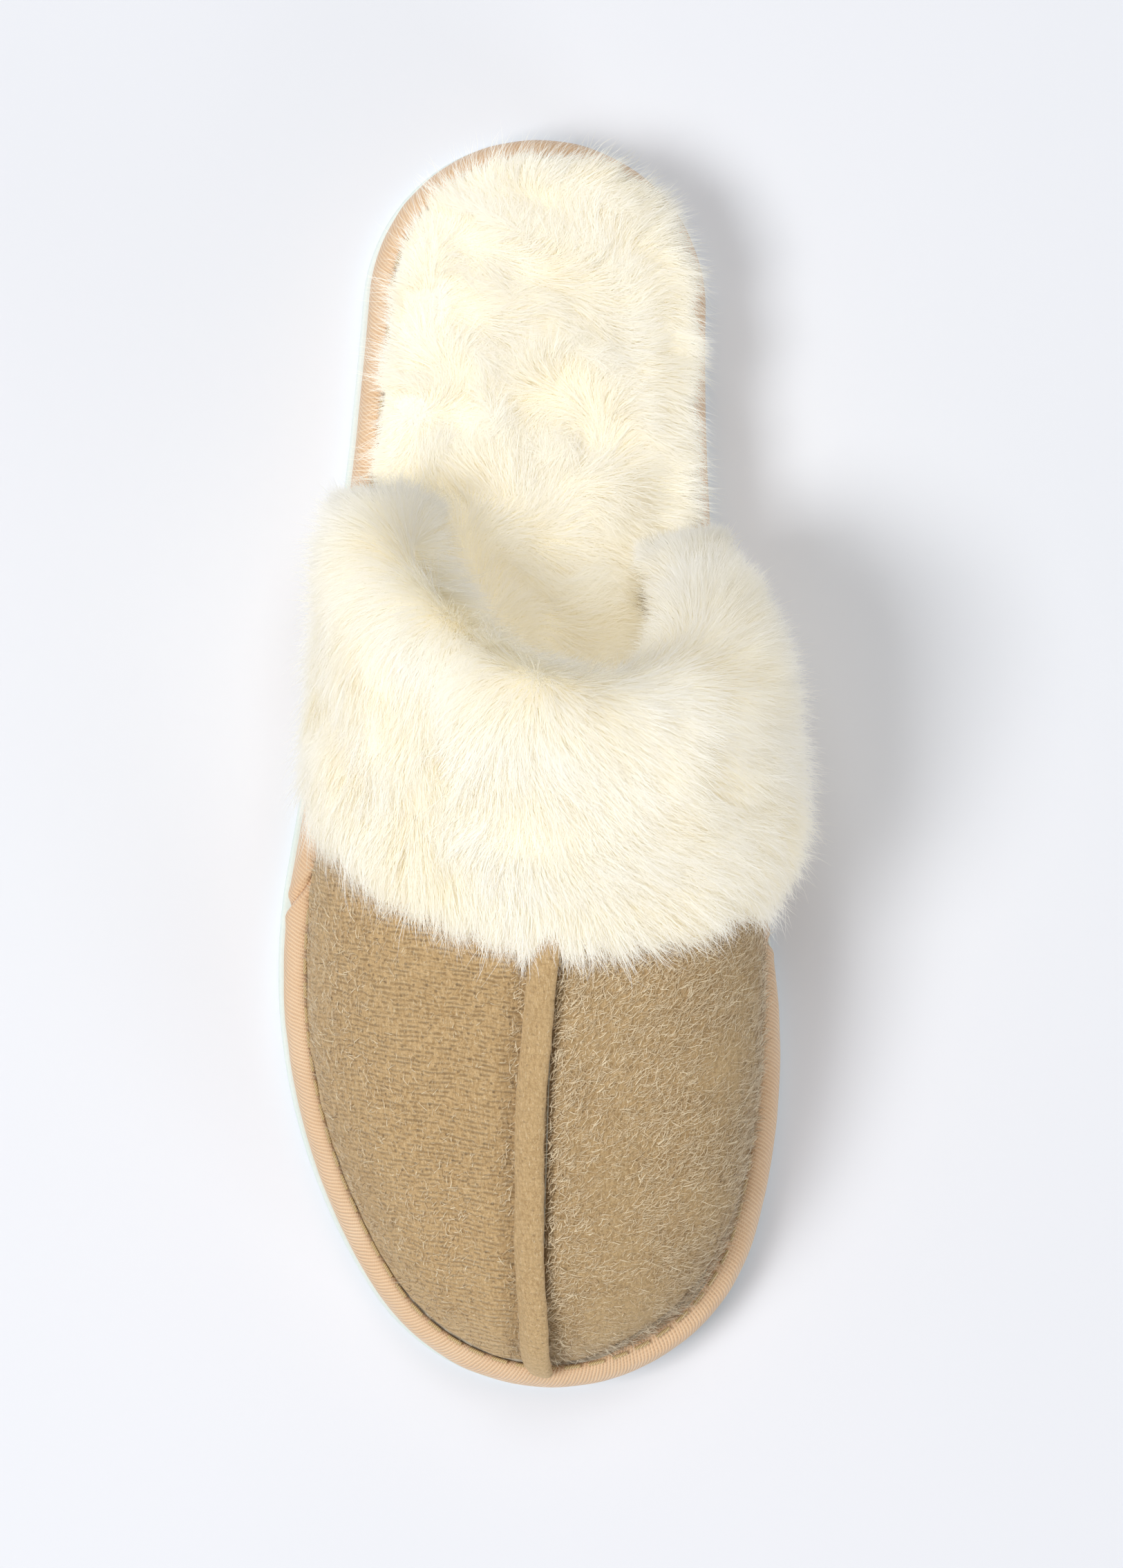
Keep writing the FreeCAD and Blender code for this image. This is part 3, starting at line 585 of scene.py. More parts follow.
def swell(piece, skin, room):
    """Fill a padded piece out with the cloth solver.  room gives the furthest that each
    point may move, in millimetres.  Returns how far the points of the grid skin moved."""
    bake(piece, "REMESH", mode="VOXEL", voxel_size=VOXEL * MM)
    start = coordinates(piece.data)
    limit = room(start)
    held = piece.vertex_groups.new(name="held")
    held.add(np.nonzero(limit < PINNED)[0].tolist(), 1.0, "REPLACE")
    cloth = piece.modifiers.new("cloth", "CLOTH")
    cloth.settings.quality = 5
    cloth.settings.use_pressure = True
    cloth.settings.uniform_pressure_force = PRESSURE
    cloth.settings.effector_weights.gravity = 0.0
    cloth.settings.vertex_group_mass = "held"
    cloth.collision_settings.use_collision = False
    for number in range(1, CLOTH_FRAMES + 1):
        bpy.context.scene.frame_set(number)
    full = evaluated(piece)
    step = coordinates(full) - start
    reach = np.linalg.norm(step, axis=1, keepdims=True)
    step *= np.minimum(1.0, limit[:, None] / np.maximum(reach, 1e-6))
    piece.modifiers.clear()
    piece.vertex_groups.clear()
    bpy.context.scene.frame_set(1)
    piece.data.vertices.foreach_set("co", ((start + step) * MM).astype(np.float32).ravel())
    piece.data.update()
    bake(piece, "SUBSURF", levels=1)
    piece.data.polygons.foreach_set("use_smooth", np.ones(len(piece.data.polygons), bool))
    faces = [tuple(face.vertices) for face in piece.data.polygons]
    tree = BVHTree.FromPolygons(coordinates(piece.data).tolist(), faces)
    found = np.array([tree.find_nearest(point)[0] for point in skin.reshape(-1, 3).tolist()])
    return found.reshape(skin.shape) - skin


def table_at(table, u, v):
    """Values of a grid table at scattered shares of its rows and columns."""
    a, b = np.clip(u, 0, 1) * (len(table) - 1), np.clip(v, 0, 1) * (table.shape[1] - 1)
    i = np.minimum(a.astype(int), len(table) - 2)
    j = np.minimum(b.astype(int), table.shape[1] - 2)
    s, t = (a - i)[:, None], (b - j)[:, None]
    return ((table[i, j] * (1 - s) + table[i + 1, j] * s) * (1 - t)
            + (table[i, j + 1] * (1 - s) + table[i + 1, j + 1] * s) * t)


# ---------------------------------------------------------------- materials


def rgb(red, green, blue):
    """Linear colour of an sRGB colour in 0 to 255."""
    parts = [c / 255 for c in (red, green, blue)]
    return tuple(c / 12.92 if c < 0.04045 else ((c + 0.055) / 1.055) ** 2.4
                 for c in parts) + (1.0,)


class Looks:
    """A material's node tree, with short ways to add nodes and join them."""

    def __init__(self, name, roughness=0.8, **constant):
        self.material = bpy.data.materials.new(name)
        self.material.use_nodes = True
        self.tree = self.material.node_tree
        self.shader = self.tree.nodes["Principled BSDF"]
        self.set(self.shader, "Roughness", roughness)
        for key, value in constant.items():
            self.set(self.shader, key.replace("_", " "), value)

    def set(self, node, key, value):
        """Join another node's output to an input, or give the input a value."""
        if isinstance(value, bpy.types.NodeSocket):
            self.tree.links.new(value, node.inputs[key])
        else:
            node.inputs[key].default_value = value

    def add(self, kind, inputs, output=0, **settings):
        """The output of a new node with these inputs and settings."""
        node = self.tree.nodes.new("ShaderNode" + kind)
        for key, value in settings.items():
            setattr(node, key, value)
        for key, value in inputs.items():
            self.set(node, key, value)
        return node.outputs[output]

    def plus(self, one, two):
        return self.add("Math", {0: one, 1: two}, operation="ADD")

    def times(self, one, two):
        return self.add("Math", {0: one, 1: two}, operation="MULTIPLY")

    def ripple(self, value, pitch):
        """Sine wave along the value with this pitch in millimetres."""
        turns = self.times(value, 2 * math.pi / pitch)
        return self.add("Math", {0: turns}, operation="SINE")

    def split(self, vector):
        """The first two parts of a vector."""
        node = self.tree.nodes.new("ShaderNodeSeparateXYZ")
        self.set(node, 0, vector)
        return node.outputs[0], node.outputs[1]

    def layer(self, name):
        """The two values of a UV layer."""
        return self.split(self.add("UVMap", {}, uv_map=name))

    def place(self, scale=(1, 1, 1), turn=(0, 0, 0)):
        """Object coordinates in millimetres, turned and scaled."""
        place = self.add("TexCoord", {}, output=3)
        return self.add("Mapping", {"Vector": place, "Rotation": turn,
                                    "Scale": [1000 * s for s in scale]})

    def noise(self, where, scale, detail=3.0, rough=0.55):
        return self.add("TexNoise", {"Vector": where, "Scale": scale, "Detail": detail,
                                     "Roughness": rough})

    def spread(self, value, low, high, to_low=0.0, to_high=1.0):
        """The value stretched from low..high to to_low..to_high, and held there."""
        return self.add("MapRange", {"Value": value, "From Min": low, "From Max": high,
                                     "To Min": to_low, "To Max": to_high})

    def mix(self, share, one, two):
        node = self.tree.nodes.new("ShaderNodeMix")
        node.data_type = "RGBA"
        self.set(node, 0, share)
        self.set(node, 6, one)
        self.set(node, 7, two)
        return node.outputs[2]

    def blotches(self, where, scale, detail, one, two):
        """Two colours in soft patches."""
        return self.mix(self.spread(self.noise(where, scale, detail), 0.3, 0.7), one, two)

    def colour(self, value):
        self.set(self.shader, "Base Color", value)

    def bump(self, height, depth):
        """Relief of this depth in millimetres."""
        normal = self.add("Bump", {"Height": height, "Distance": depth * MM,
                                   "Strength": 1.0})
        self.set(self.shader, "Normal", normal)


def plush_strand_looks():
    """Pile fibres: u of the layer is each fibre's own tone and v runs from root to tip."""
    # The constant warm emission is painted light: a faint glow that lifts the pile where it
    # lies in shade.
    looks = Looks("plush_strands", roughness=0.7, Sheen_Weight=0.2, Sheen_Roughness=0.4,
                  Emission_Color=rgb(255, 238, 205), Emission_Strength=0.07)
    tone, height = looks.layer("OFBake")
    tips = looks.mix(tone, rgb(255, 253, 243), rgb(255, 255, 252))
    # Warmer toward the roots: painted shade deep in the pile.
    roots = looks.mix(tone, rgb(255, 247, 222), rgb(255, 253, 242))
    looks.colour(looks.mix(looks.spread(height, 0.0, 0.75), roots, tips))
    fibre = looks.add("BsdfTranslucent", {"Color": rgb(255, 251, 238)})
    blend = looks.add("MixShader", {0: 0.15, 1: looks.shader.outputs[0], 2: fibre})
    looks.set(looks.tree.nodes["Material Output"], "Surface", blend)
    return looks.material


def plush_ground_looks():
    """The dense pile below the loose fibre ends."""
    # The constant warm emission is painted light: a glow that lifts the ground where the pile
    # shades it.
    looks = Looks("plush_ground", roughness=0.85, Sheen_Weight=0.2,
                  Emission_Color=rgb(255, 238, 204), Emission_Strength=0.12)
    where = looks.place()
    soft, fine = looks.noise(where, 0.12, 4.0), looks.noise(where, 1.6, 3.0)
    cream = looks.mix(looks.spread(soft, 0.3, 0.7), rgb(255, 246, 218), rgb(255, 252, 238))
    looks.colour(looks.mix(looks.spread(fine, 0.25, 0.75, 0.0, 0.35), cream,
                           rgb(255, 251, 240)))
    looks.bump(looks.plus(fine, looks.times(soft, 2.0)), 0.6)
    return looks.material


def suede_looks(name, light, dark, ribbed):
    """Knitted microsuede: rows of fine knit with a short brushed nap, and pinholes."""
    looks = Looks(name, roughness=0.92, Sheen_Weight=0.6, Sheen_Roughness=0.5,
                  Sheen_Tint=rgb(235, 215, 180))
    knit_pitch = 0.95
    rib_relief, rib_light_shade, trough_shade_share, pin_share = (
        (0.5, 0.16, 0.5, 0.55) if ribbed else (0.12, 0.10, 0.12, 0.3))
    flat = looks.place()
    wobble = looks.noise(flat, 0.09, 2.0)
    across, down = looks.split(flat)
    bent = looks.plus(looks.plus(down, looks.times(across, 0.14)), looks.times(wobble, 2.5))
    rows = looks.ripple(bent, knit_pitch)
    knots = looks.ripple(looks.plus(across, looks.times(wobble, 4.0)), knit_pitch)
    dashes = looks.spread(looks.noise(looks.place((0.6, 1.0, 0.6)), 1.1, 2.0), 0.42, 0.58)
    knit = looks.times(looks.plus(looks.times(rows, dashes), looks.times(knots, 0.12)),
                       rib_relief)
    nap = looks.noise(looks.place((1, 0.3, 1), (0, 0, math.radians(35))), 1.9, 4.0, 0.65)
    grain = looks.noise(flat, 3.2, 3.0, 0.7)
    tone = looks.plus(looks.times(nap, 0.55), looks.times(grain, 0.45))
    # The knit term lightens the ridges of the knit and darkens its troughs: painted light and
    # shade on its relief.
    tone = looks.plus(tone, looks.times(knit, rib_light_shade))
    cloth = looks.mix(looks.spread(tone, 0.40, 0.62), dark, light)
    patches = looks.spread(looks.noise(flat, 0.05, 3.0), 0.3, 0.7)
    cloth = looks.mix(looks.times(patches, 0.25), cloth, light)
    # Darker dashes in the troughs of the knit rows: painted shade there.
    gaps = looks.times(looks.spread(rows, -0.1, -0.8), dashes)
    cloth = looks.mix(looks.times(gaps, trough_shade_share), cloth, rgb(146, 116, 78))
    holes = looks.add("TexVoronoi", {"Vector": flat, "Scale": 0.62, "Randomness": 0.85})
    pin = looks.spread(holes, 0.10, 0.22, pin_share, 0.0)
    cloth = looks.mix(pin, cloth, rgb(110, 84, 54))
    flecks = looks.spread(looks.noise(looks.place((1.6, 0.35, 1), (0, 0, 0.7)), 2.6, 1.0),
                          0.62, 0.74, 0.0, 0.5)
    looks.colour(looks.mix(flecks, cloth, rgb(238, 220, 184)))
    relief = looks.plus(looks.times(tone, 1.4), knit)
    looks.bump(looks.plus(relief, looks.times(pin, -1.0)), 0.28)
    return looks.material


def satin_looks():
    """Ribbed peach satin; the layer holds millimetres along and across the strip."""
    looks = Looks("satin_rib", roughness=0.5, Sheen_Weight=0.3, Sheen_Roughness=0.3,
                  Specular_IOR_Level=0.4)
    along, across = looks.layer("weave")
    where = looks.place()
    bend = looks.times(looks.noise(where, 0.2, 2.0), 0.7)
    slanted = looks.plus(looks.plus(along, bend), looks.times(across, 0.45))
    ribs = looks.ripple(slanted, 0.82)
    threads = looks.ripple(across, 0.42)
    weave = looks.plus(ribs, looks.times(looks.times(ribs, threads), 0.5))
    base = looks.blotches(where, 0.06, 3.0, rgb(247, 210, 168), rgb(253, 224, 188))
    # Darker in the troughs between the ribs: painted shade.
    base = looks.mix(looks.spread(weave, -1.2, 1.2, 0.62, 0.0), base, rgb(206, 156, 108))
    grain = looks.noise(where, 3.0, 2.0)
    looks.colour(looks.mix(looks.spread(grain, 0.4, 0.75, 0.0, 0.25), base,
                           rgb(250, 222, 192)))
    looks.set(looks.shader, "Roughness", looks.spread(weave, -1.5, 1.5, 0.6, 0.42))
    looks.bump(weave, 0.08)
    return looks.material


def outsole_looks():
    """Pale mint-white foamed rubber with a fine skin."""
    looks = Looks("outsole_rubber", roughness=0.6)
    where = looks.place()
    cells = looks.noise(where, 1.8, 4.0, 0.6)
    base = looks.blotches(where, 0.03, 3.0, rgb(226, 238, 233), rgb(236, 243, 240))
    looks.colour(looks.mix(looks.spread(cells, 0.45, 0.8, 0.0, 0.3), base,
                           rgb(208, 222, 216)))
    looks.set(looks.shader, "Roughness", looks.spread(cells, 0.3, 0.7, 0.5, 0.7))
    looks.bump(cells, 0.06)
    return looks.material


def thread_looks():
    """Pale gold sewing thread, twisted."""
    looks = Looks("sewing_thread", roughness=0.45, Sheen_Weight=0.2)
    where = looks.place(turn=(0.4, 0.3, math.radians(40)))
    twist = looks.add("TexWave", {"Vector": where, "Scale": 0.9, "Distortion": 1.5,
                                  "Detail": 2.0})
    looks.colour(looks.mix(twist, rgb(176, 144, 92), rgb(224, 198, 146)))
    looks.bump(twist, 0.08)
    return looks.material


def foam_looks(name, light, dark):
    """Open-cell foam or board, seen only at cut edges."""
    looks = Looks(name, roughness=0.9)
    where = looks.place()
    cells = looks.add("TexVoronoi", {"Vector": where, "Scale": 1.1})
    base = looks.blotches(where, 0.1, 3.0, dark, light)
    looks.colour(looks.mix(looks.spread(cells, 0.0, 0.5, 0.3, 0.0), base, dark))
    looks.bump(cells, 0.2)
    return looks.material


def padding_looks(name):
    return foam_looks(name, rgb(244, 240, 228), rgb(214, 206, 184))


# ---------------------------------------------------------------- pile fibres


def spread_roots(at, density, rng, rows=220, columns=120):
    """Random places on a surface, as many in each part as its area and density ask."""
    u, v = shares(rows + 1, columns + 1)
    points = at(u, v)
    one = points[1:, :-1] - points[:-1, :-1]
    two = points[:-1, 1:] - points[:-1, :-1]
    area = np.linalg.norm(np.cross(one, two), axis=-1)
    middle = (points[1:, 1:] + points[:-1, :-1]) / 2
    wanted = area * density(middle, (u[1:] + u[:-1])[:, None] / 2, (v[1:] + v[:-1])[None] / 2)
    count = int(wanted.sum())
    cells = rng.choice(wanted.size, count, p=(wanted / wanted.sum()).ravel())
    row, column = np.divmod(cells, columns)
    return ((row + rng.random(count)) / rows, (column + rng.random(count)) / columns)


def tree_of(points):
    """Points ready for finding the nearest."""
    tree = KDTree(len(points))
    for i, point in enumerate(points.tolist()):
        tree.insert(point, i)
    tree.balance()
    return tree


def toward_clumps(points, spacing, rng):
    """Step from each point to the middle of its clump; clumps are about spacing apart."""
    count = max(int(len(points) / max(spacing**2 * TUFT_DENSITY, 1.0)), 8)
    middles = points[rng.choice(len(points), min(count, len(points)), replace=False)]
    tree = tree_of(middles)
    nearest = np.array([tree.find(p)[1] for p in points])
    return middles[nearest] - points, nearest


def comb(roots, normals, flow, length, lift, rng, clump, curl=0.03, spacing=3.4, lowest=None,
         broad=0.35):
    """Points of each fibre from root to tip, pulled together into tufts.  flow is the way
    the pile lies, lift how far it stands up from that, clump how far the tips are drawn to
    the middle of their tuft, and broad the share of that for the wider tufts."""
    step, tuft = toward_clumps(roots, spacing, rng)
    wide, _tuft = toward_clumps(roots, spacing * 2.6, rng)
    step = (step + wide * np.reshape(broad, (-1, 1))) * np.reshape(clump, (-1, 1))
    tuft_turn = rng.normal(0, 1.0, (tuft.max() + 1, 3))[tuft]
    length = length[:, None]
    lean = unit(flow + normals * lift[:, None] + tuft_turn * 0.08
                + rng.normal(0, 0.15, roots.shape))
    start = unit(normals * 0.8 + flow * 0.75 + tuft_turn * 0.1)
    middle = roots + start * length * 0.42 + step * 0.3
    tip = roots + lean * length + step
    tip[:, 2] -= 0.06 * length[:, 0]
    side = unit(np.cross(lean, normals)) * rng.normal(0, 1, (len(roots), 1))
    phase = rng.uniform(0, 2 * math.pi, (len(roots), 1))
    share = np.linspace(0, 1, STRAND_STEPS + 1)
    points = np.empty((len(roots), STRAND_STEPS + 1, 3))
    for i, t in enumerate(share):
        rest = 1 - t
        points[:, i] = roots * rest**2 + middle * (2 * rest * t) + tip * t**2
        points[:, i] += side * length * curl * t * np.sin(phase + 5.5 * t)
    if lowest is not None:
        points = lowest(points)
    return points


def make_strands(name, points, normals, width, tone, rng, material, slot):
    """Tapering ribbons along the fibres, split into pieces of a limited size.  Their
    shading normals follow the surface they grow from, so the pile reads as one soft mass."""
    count = len(points)
    share = np.linspace(0, 1, STRAND_STEPS + 1)
    run = unit(np.gradient(points, axis=1))
    roll = rng.uniform(-0.6, 0.6, (count, 1, 1))
    base = normals[:, None, :]
    aside = unit(np.cross(run, base))
    facing = unit(np.cross(aside, run))
    face = facing * np.cos(roll) + aside * np.sin(roll)
    across = unit(np.cross(face, run))
    half = (width[:, None] * 0.5 * (1 - 0.85 * share**2))[:, :, None]
    left, right = points - across * half, points + across * half
    shade = unit(face * 0.14 + base)
    order = rng.permutation(count)
    levels = STRAND_STEPS
    each = 2 * levels + 1
    level = np.arange(levels - 1) * 2
    quad = np.stack([level + 1, level, level + 2, level + 3], 1)
    tip = np.array([each - 2, each - 3, each - 1])
    heights = np.append(np.repeat(share[:levels], 2), 1.0)
    for number, start in enumerate(range(0, count, PIECE_STRANDS), 1):
        part = order[start:start + PIECE_STRANDS]
        body = np.stack([left[part, :levels], right[part, :levels]], 2)
        tips = points[part, levels]
        size = len(part)
        vertices = np.concatenate([body.reshape(size, -1, 3), tips[:, None]], 1)
        offset = np.arange(size)[:, None, None] * each
        quads = (quad[None] + offset).reshape(-1, 4)
        piece = make_object(f"{name}_{number:02d}", vertices.reshape(-1, 3), quads,
                            tip + offset[:, 0])
        values = np.empty((size, each, 2))
        values[:, :, 0] = tone[part, None]
        values[:, :, 1] = heights
        layer_of(piece.data, "OFBake", values.reshape(-1, 2))
        body = np.repeat(shade[part, :levels], 2, axis=1)
        turned = np.concatenate([body, shade[part, levels:]], 1).reshape(-1, 3)
        piece.data.normals_split_custom_set_from_vertices(turned)
        finish_piece(piece, slot, material)


# ---------------------------------------------------------------- sole strip


def band_width(plan):
    """How far the suede stands back from the strip's groove round the big toe."""
    angle = np.degrees(np.arctan2(plan[..., 1] - TOE_CENTRE[1], plan[..., 0] - TOE_CENTRE[0]))
    return 2.0 * ease((-6 - angle) / 20) * ease((angle + 82) / 24)


def strip_section():
    """Inset and height of the strip's outer skin, from the groove to under the sole."""
    corners = [(5.2, 15.3), (5.15, 15.9), (4.6, 16.35), (3.7, 16.4), (2.4, 15.75),
               (1.25, 14.6), (0.5, 13.1), (0.1, 11.4), (0.0, 9.6), (0.1, 7.6), (0.7, 5.9),
               (1.9, 4.6), (3.4, 4.1), (6.0, 4.05), (9.8, 4.05)]
    spline = natural_spline([(x, z, 0) for x, z in corners])
    return np.array([spline(share)[:2] for share in np.linspace(0, 1, 44)])


def make_strip(name, first, last, first_lap, last_lap, material, *nodes):
    """One length of the satin strip between two slanting sewn joins."""
    section = strip_section()
    around = len(section)
    side = 20
    run = run_along(section, 0)
    track = Track(0.0)
    count = int((last - first) / 0.8)
    slant = 1.4 * (section[:, 0] - 2.5)
    slant[side:] = slant[side]
    start = first + slant * first_lap
    stop = last + slant * last_lap
    distance = start[None] + (stop - start)[None] * np.linspace(0, 1, count)[:, None]
    point, outward = track.sample(distance)
    outward = unit(outward)
    flat_top = ease((section[:, 1] - 13.5) / 1.5) * ease((section[:, 0] - 1.6) / 2.4)
    inset = section[:, 0] + band_width(point) * flat_top
    skin = np.concatenate([point - outward * inset[:, :, None],
                           np.broadcast_to(section[None, :, 1:], (count, around, 1))], -1)
    normal = grid_normals(skin)
    if normal[count // 2, side] @ np.append(outward[count // 2, side], 0) < 0:
        normal = -normal
    end = np.minimum(distance - start[None], stop[None] - distance)
    dip = -0.75 * np.exp(-(end / 1.1) ** 2) + 0.22 * np.exp(-((end - 2.4) / 1.3) ** 2)
    waves = Hills(9.0, 11)(skin) * 0.12 + Hills(28.0, 12)(skin) * 0.12
    top = ease((12 - np.abs(np.arange(around) - 8)) / 8)
    skin = raised(skin + normal * ((dip + waves * top)[:, :, None] - 0.05), STRIP_FOOT)
    rings = np.concatenate([skin, (skin - normal * SATIN_THICK)[:, ::-1]], 1)
    piece = closed_tube(name, raised(rings, STRIP_FOOT))
    values = np.zeros((count, 2 * around, 2))
    values[..., 0] = np.concatenate([distance, distance[:, ::-1]], 1)
    values[..., 1] = np.concatenate([run, run[::-1]])
    values = np.concatenate([values.reshape(-1, 2), [[first, 0], [last, 0]]])
    layer_of(piece.data, "weave", values)
    finish_piece(piece, "wrap_satin", material, *nodes)


# ---------------------------------------------------------------- upper pieces


def seam_bow(from_toe):
    """How far the seam strip bows to the little-toe side, by its distance from the toe."""
    return -3.1 * math.sin(math.pi * min(max(from_toe, 0.0) / 95.0, 1.0)) ** 0.8


def seam_relief(side):
    """Height of the suede beside the seam strip, by its distance to the big-toe side: a
    deep fold at the strip's right, and a shallow crease with a swell at its left."""
    return (0.6 * np.exp(-((side + 8.0) / 3.5) ** 2)
            - 0.9 * np.exp(-((side + 3.2) / 2.2) ** 2)
            - 2.1 * np.exp(-((side - 2.9) / 1.4) ** 2))


def stand_back(skin, from_foot):
    """Draw the foot of a layer in from the strip's groove round the big toe."""
    ray = unit(skin[..., :2] - TOE_CENTRE)
    drawn = band_width(skin[..., :2]) * (1 - ease(from_foot / 10.0))
    skin[..., :2] -= ray * drawn[:, :, None]


def make_wadding(upper):
    """The padding behind the suede, which follows its folds."""
    u, v = shares(181, 60)
    skin, back = (layer_net(upper, 0, 1, 33, -depth).grid(u, v) for depth in WADDING_DEPTHS)
    normal = grid_normals(skin)
    run = run_along(skin, 0)
    middle = len(u) // 2
    bow = np.array([seam_bow(y - SEAM_START_Y) for y in skin[middle, :, 1]])
    from_foot = run_along(skin, 1)
    dip = np.minimum(seam_relief(run - run[middle] - bow), 0) * ease(from_foot / 3.0)
    skin = skin + normal * dip[:, :, None]
    back = back + normal * np.minimum(dip + 1.4, 0)[:, :, None]
    for layer in (skin, back):
        stand_back(layer, from_foot)
        raised(layer, UPPER_FOOT)
    piece = closed_slab("vamp_wadding", skin, back)
    finish_piece(piece, "soft_foam", padding_looks("vamp_padding"), "vamp_foam")


def make_footbed_pad():
    """The foam cushion under the sock, crowned, its edges rounded over."""
    edge, spine, _wide = sock_rings()
    rings = []
    for share, height in ((0.06, 20.1), (0.35, 20.1), (0.7, 20.0), (0.88, 19.8), (0.96, 19.3),
                          (0.985, 18.6), (0.985, 17.6), (0.97, 16.7), (0.93, 16.3),
                          (0.5, 16.28)):
        plan = spine + (edge - spine) * share
        rings.append(np.concatenate([plan, np.full((len(edge), 1), height)], 1))
    piece = closed_tube("footbed_pad", np.array(rings)[::-1], paired=True)
    finish_piece(piece, "soft_foam", padding_looks("footbed_padding"), "footbed_foam")


def make_panel(name, net, seam_last, node, material):
    """One suede panel: slack over its foam, drawn in along its seams and its foot."""
    skin = net.grid(*shares(190, 110))
    normal = grid_normals(skin)
    from_seam = run_along(skin, 0)
    if seam_last:
        from_seam = from_seam[-1] - from_seam
    from_foot = run_along(skin, 1)
    foot = ease(from_foot / 3.0)
    puckers = Hills(6.5, 21)(skin) * 0.22 * np.exp(-((from_foot - 4) / 4.5) ** 2)
    slack = Hills(34.0, 22)(skin) * 0.45 + Hills(15.0, 23)(skin) * 0.12
    slack *= ease(from_seam / 8.0) * foot
    seam_y = skin[-1 if seam_last else 0, :, 1]
    bow = np.array([seam_bow(y - SEAM_START_Y) for y in seam_y])
    seam = seam_relief((-from_seam if seam_last else from_seam) - bow)
    roll = (0.75 if seam_last else 0.4) * np.exp(-((from_foot - 2.2) / 1.7) ** 2)
    pull = (slack + puckers + seam) * foot + roll + 0.2 * ease(from_foot / 8.0)
    skin = skin + normal * pull[:, :, None]
    if not seam_last:
        stand_back(skin, from_foot)
    back = raised(skin - normal * SUEDE_THICK, SUEDE_FOOT)
    piece = closed_slab(name, raised(skin, SUEDE_FOOT), back)
    finish_piece(piece, "suede_tan", material, node)


def make_seam_strip(upper, material):
    """The lapped strip over the centre seam: low at its left, folded under at its right."""
    side = [-3.1, -2.6, -1.9, -1.0, 0.0, 1.0, 1.8, 2.4, 2.75, 2.8, 2.6, 2.2]
    high = [0.15, 0.55, 1.15, 1.6, 1.85, 1.95, 1.9, 1.7, 1.35, 0.95, 0.6, 0.45]
    profile = natural_spline([(x, z, 0) for x, z in zip(side, high)])
    section = np.array([profile(share)[:2] for share in np.linspace(0, 1, 34)])
    top = upper.seam_rise(0.5) + 0.03
    rows = steps(-0.012, top, 150)
    skin, under = [], []
    for rise in rows:
        point, sideways, upward, normal = upper.frame(0.5, max(rise, 0.0))
        if rise < 0:
            point = point + upward * (rise * 90)
        tuck = 1 - 0.35 * float(ease((0.03 - rise) / 0.05))
        here = np.array(point)
        wander = seam_bow(point.y - SEAM_START_Y) + 0.12 * math.sin(rise * 31.0)
        skin.append([here + np.array(sideways) * (x + wander)
                     + np.array(normal) * (z * tuck * 1.2 + 0.35) for x, z in section])
        under.append([here + np.array(sideways) * (x * 0.9 + wander)
                      + np.array(normal) * (0.12 + 0.35 * max(z * tuck - 0.9, 0))
                      for x, z in section])
    skin, under = np.array(skin), np.array(under)
    skin += grid_normals(skin) * (Hills(4.0, 31)(skin) * 0.08)[:, :, None]
    piece = closed_slab("seam_strip", skin, under)
    finish_piece(piece, "suede_tan", material, "centre_welt", "centre_seam_stitches")


def make_nap(nets, rng, material):
    """Short hairs of the brushed nap: sparse on the ribbed side, dense on the other."""
    points, normals = [], []
    for net, hairs in zip(nets, (1.2, 4.2)):
        u, v = spread_roots(net.grid, lambda p, u, v: np.full(p.shape[:2], hairs), rng)
        along, up, normal = net.slopes(u, v)
        root = net.at(u, v) + normal * 0.1
        keep = root[:, 1] < np.array([cuff_line_y(x) for x in root[:, 0]]) + 3
        root, along, up, normal = root[keep], along[keep], up[keep], normal[keep]
        flow = np.cross(normal, np.cross(np.array([0.62, 0.78, 0.0]), normal))
        flow = unit(unit(flow) + rng.normal(0, 0.45, root.shape))
        length = rng.uniform(1.0, 3.4, len(root))
        lift = rng.uniform(0.0, 0.5, len(root))
        points.append(comb(root, normal, flow, length, lift, rng, 0.0, 0.08))
        normals.append(normal)
    points, normals = np.concatenate(points), np.concatenate(normals)
    tone = rng.random(len(points))
    width = rng.choice([0.08, 0.11, 0.17], len(points))
    make_strands("suede_nap", points, normals, width, tone, rng, material, "suede_tan")


def nap_looks():
    """Hairs of the suede, each with a tone of its own."""
    looks = Looks("suede_nap", roughness=0.8, Sheen_Weight=0.3)
    tone, _height = looks.layer("OFBake")
    looks.colour(looks.mix(tone, rgb(190, 160, 116), rgb(246, 230, 196)))
    return looks.material


# ---------------------------------------------------------------- plush pieces


def above_sole(points):
    """Keep fibres above the strip and the suede they hang over near the sole's edge."""
    flat = points.reshape(-1, 3)
    inside = inside_distance(flat[:, :2])
    rounded = WRAP_TOP + 0.25 - 0.33 * np.maximum(3.4 - inside, 0) ** 1.25
    flat[:, 2] = np.maximum(flat[:, 2], np.where(inside > 0, rounded, 2.0))
    return flat.reshape(points.shape)


def big_toe_end(u, v):
    """Share from 0 to 1 toward the big-toe end of the cuff's outer side."""
    return ease((u - 0.76) / 0.16) * ease((0.8 - v) / 0.2)


def cuff_crease(x, y, width):
    """Share from 0 to 1 toward the crease that runs down the cuff's little-toe side."""
    return (np.exp(-((x - CREASE_X) / width) ** 2) * ease((y + 26) / 8)
            * ease((24 - y) / 10))


def random_tone(middle, swing, spread, hills, roots, rng, shade_drop=0.0):
    """Each fibre's tone from 0 to 1: broad hills of it, a random part, and the last argument
    taken off, which is painted shade where a caller gives it.
    """
    tone = middle + swing * hills(roots) + rng.normal(0, spread, len(roots))
    return np.clip(tone - shade_drop, 0, 1)


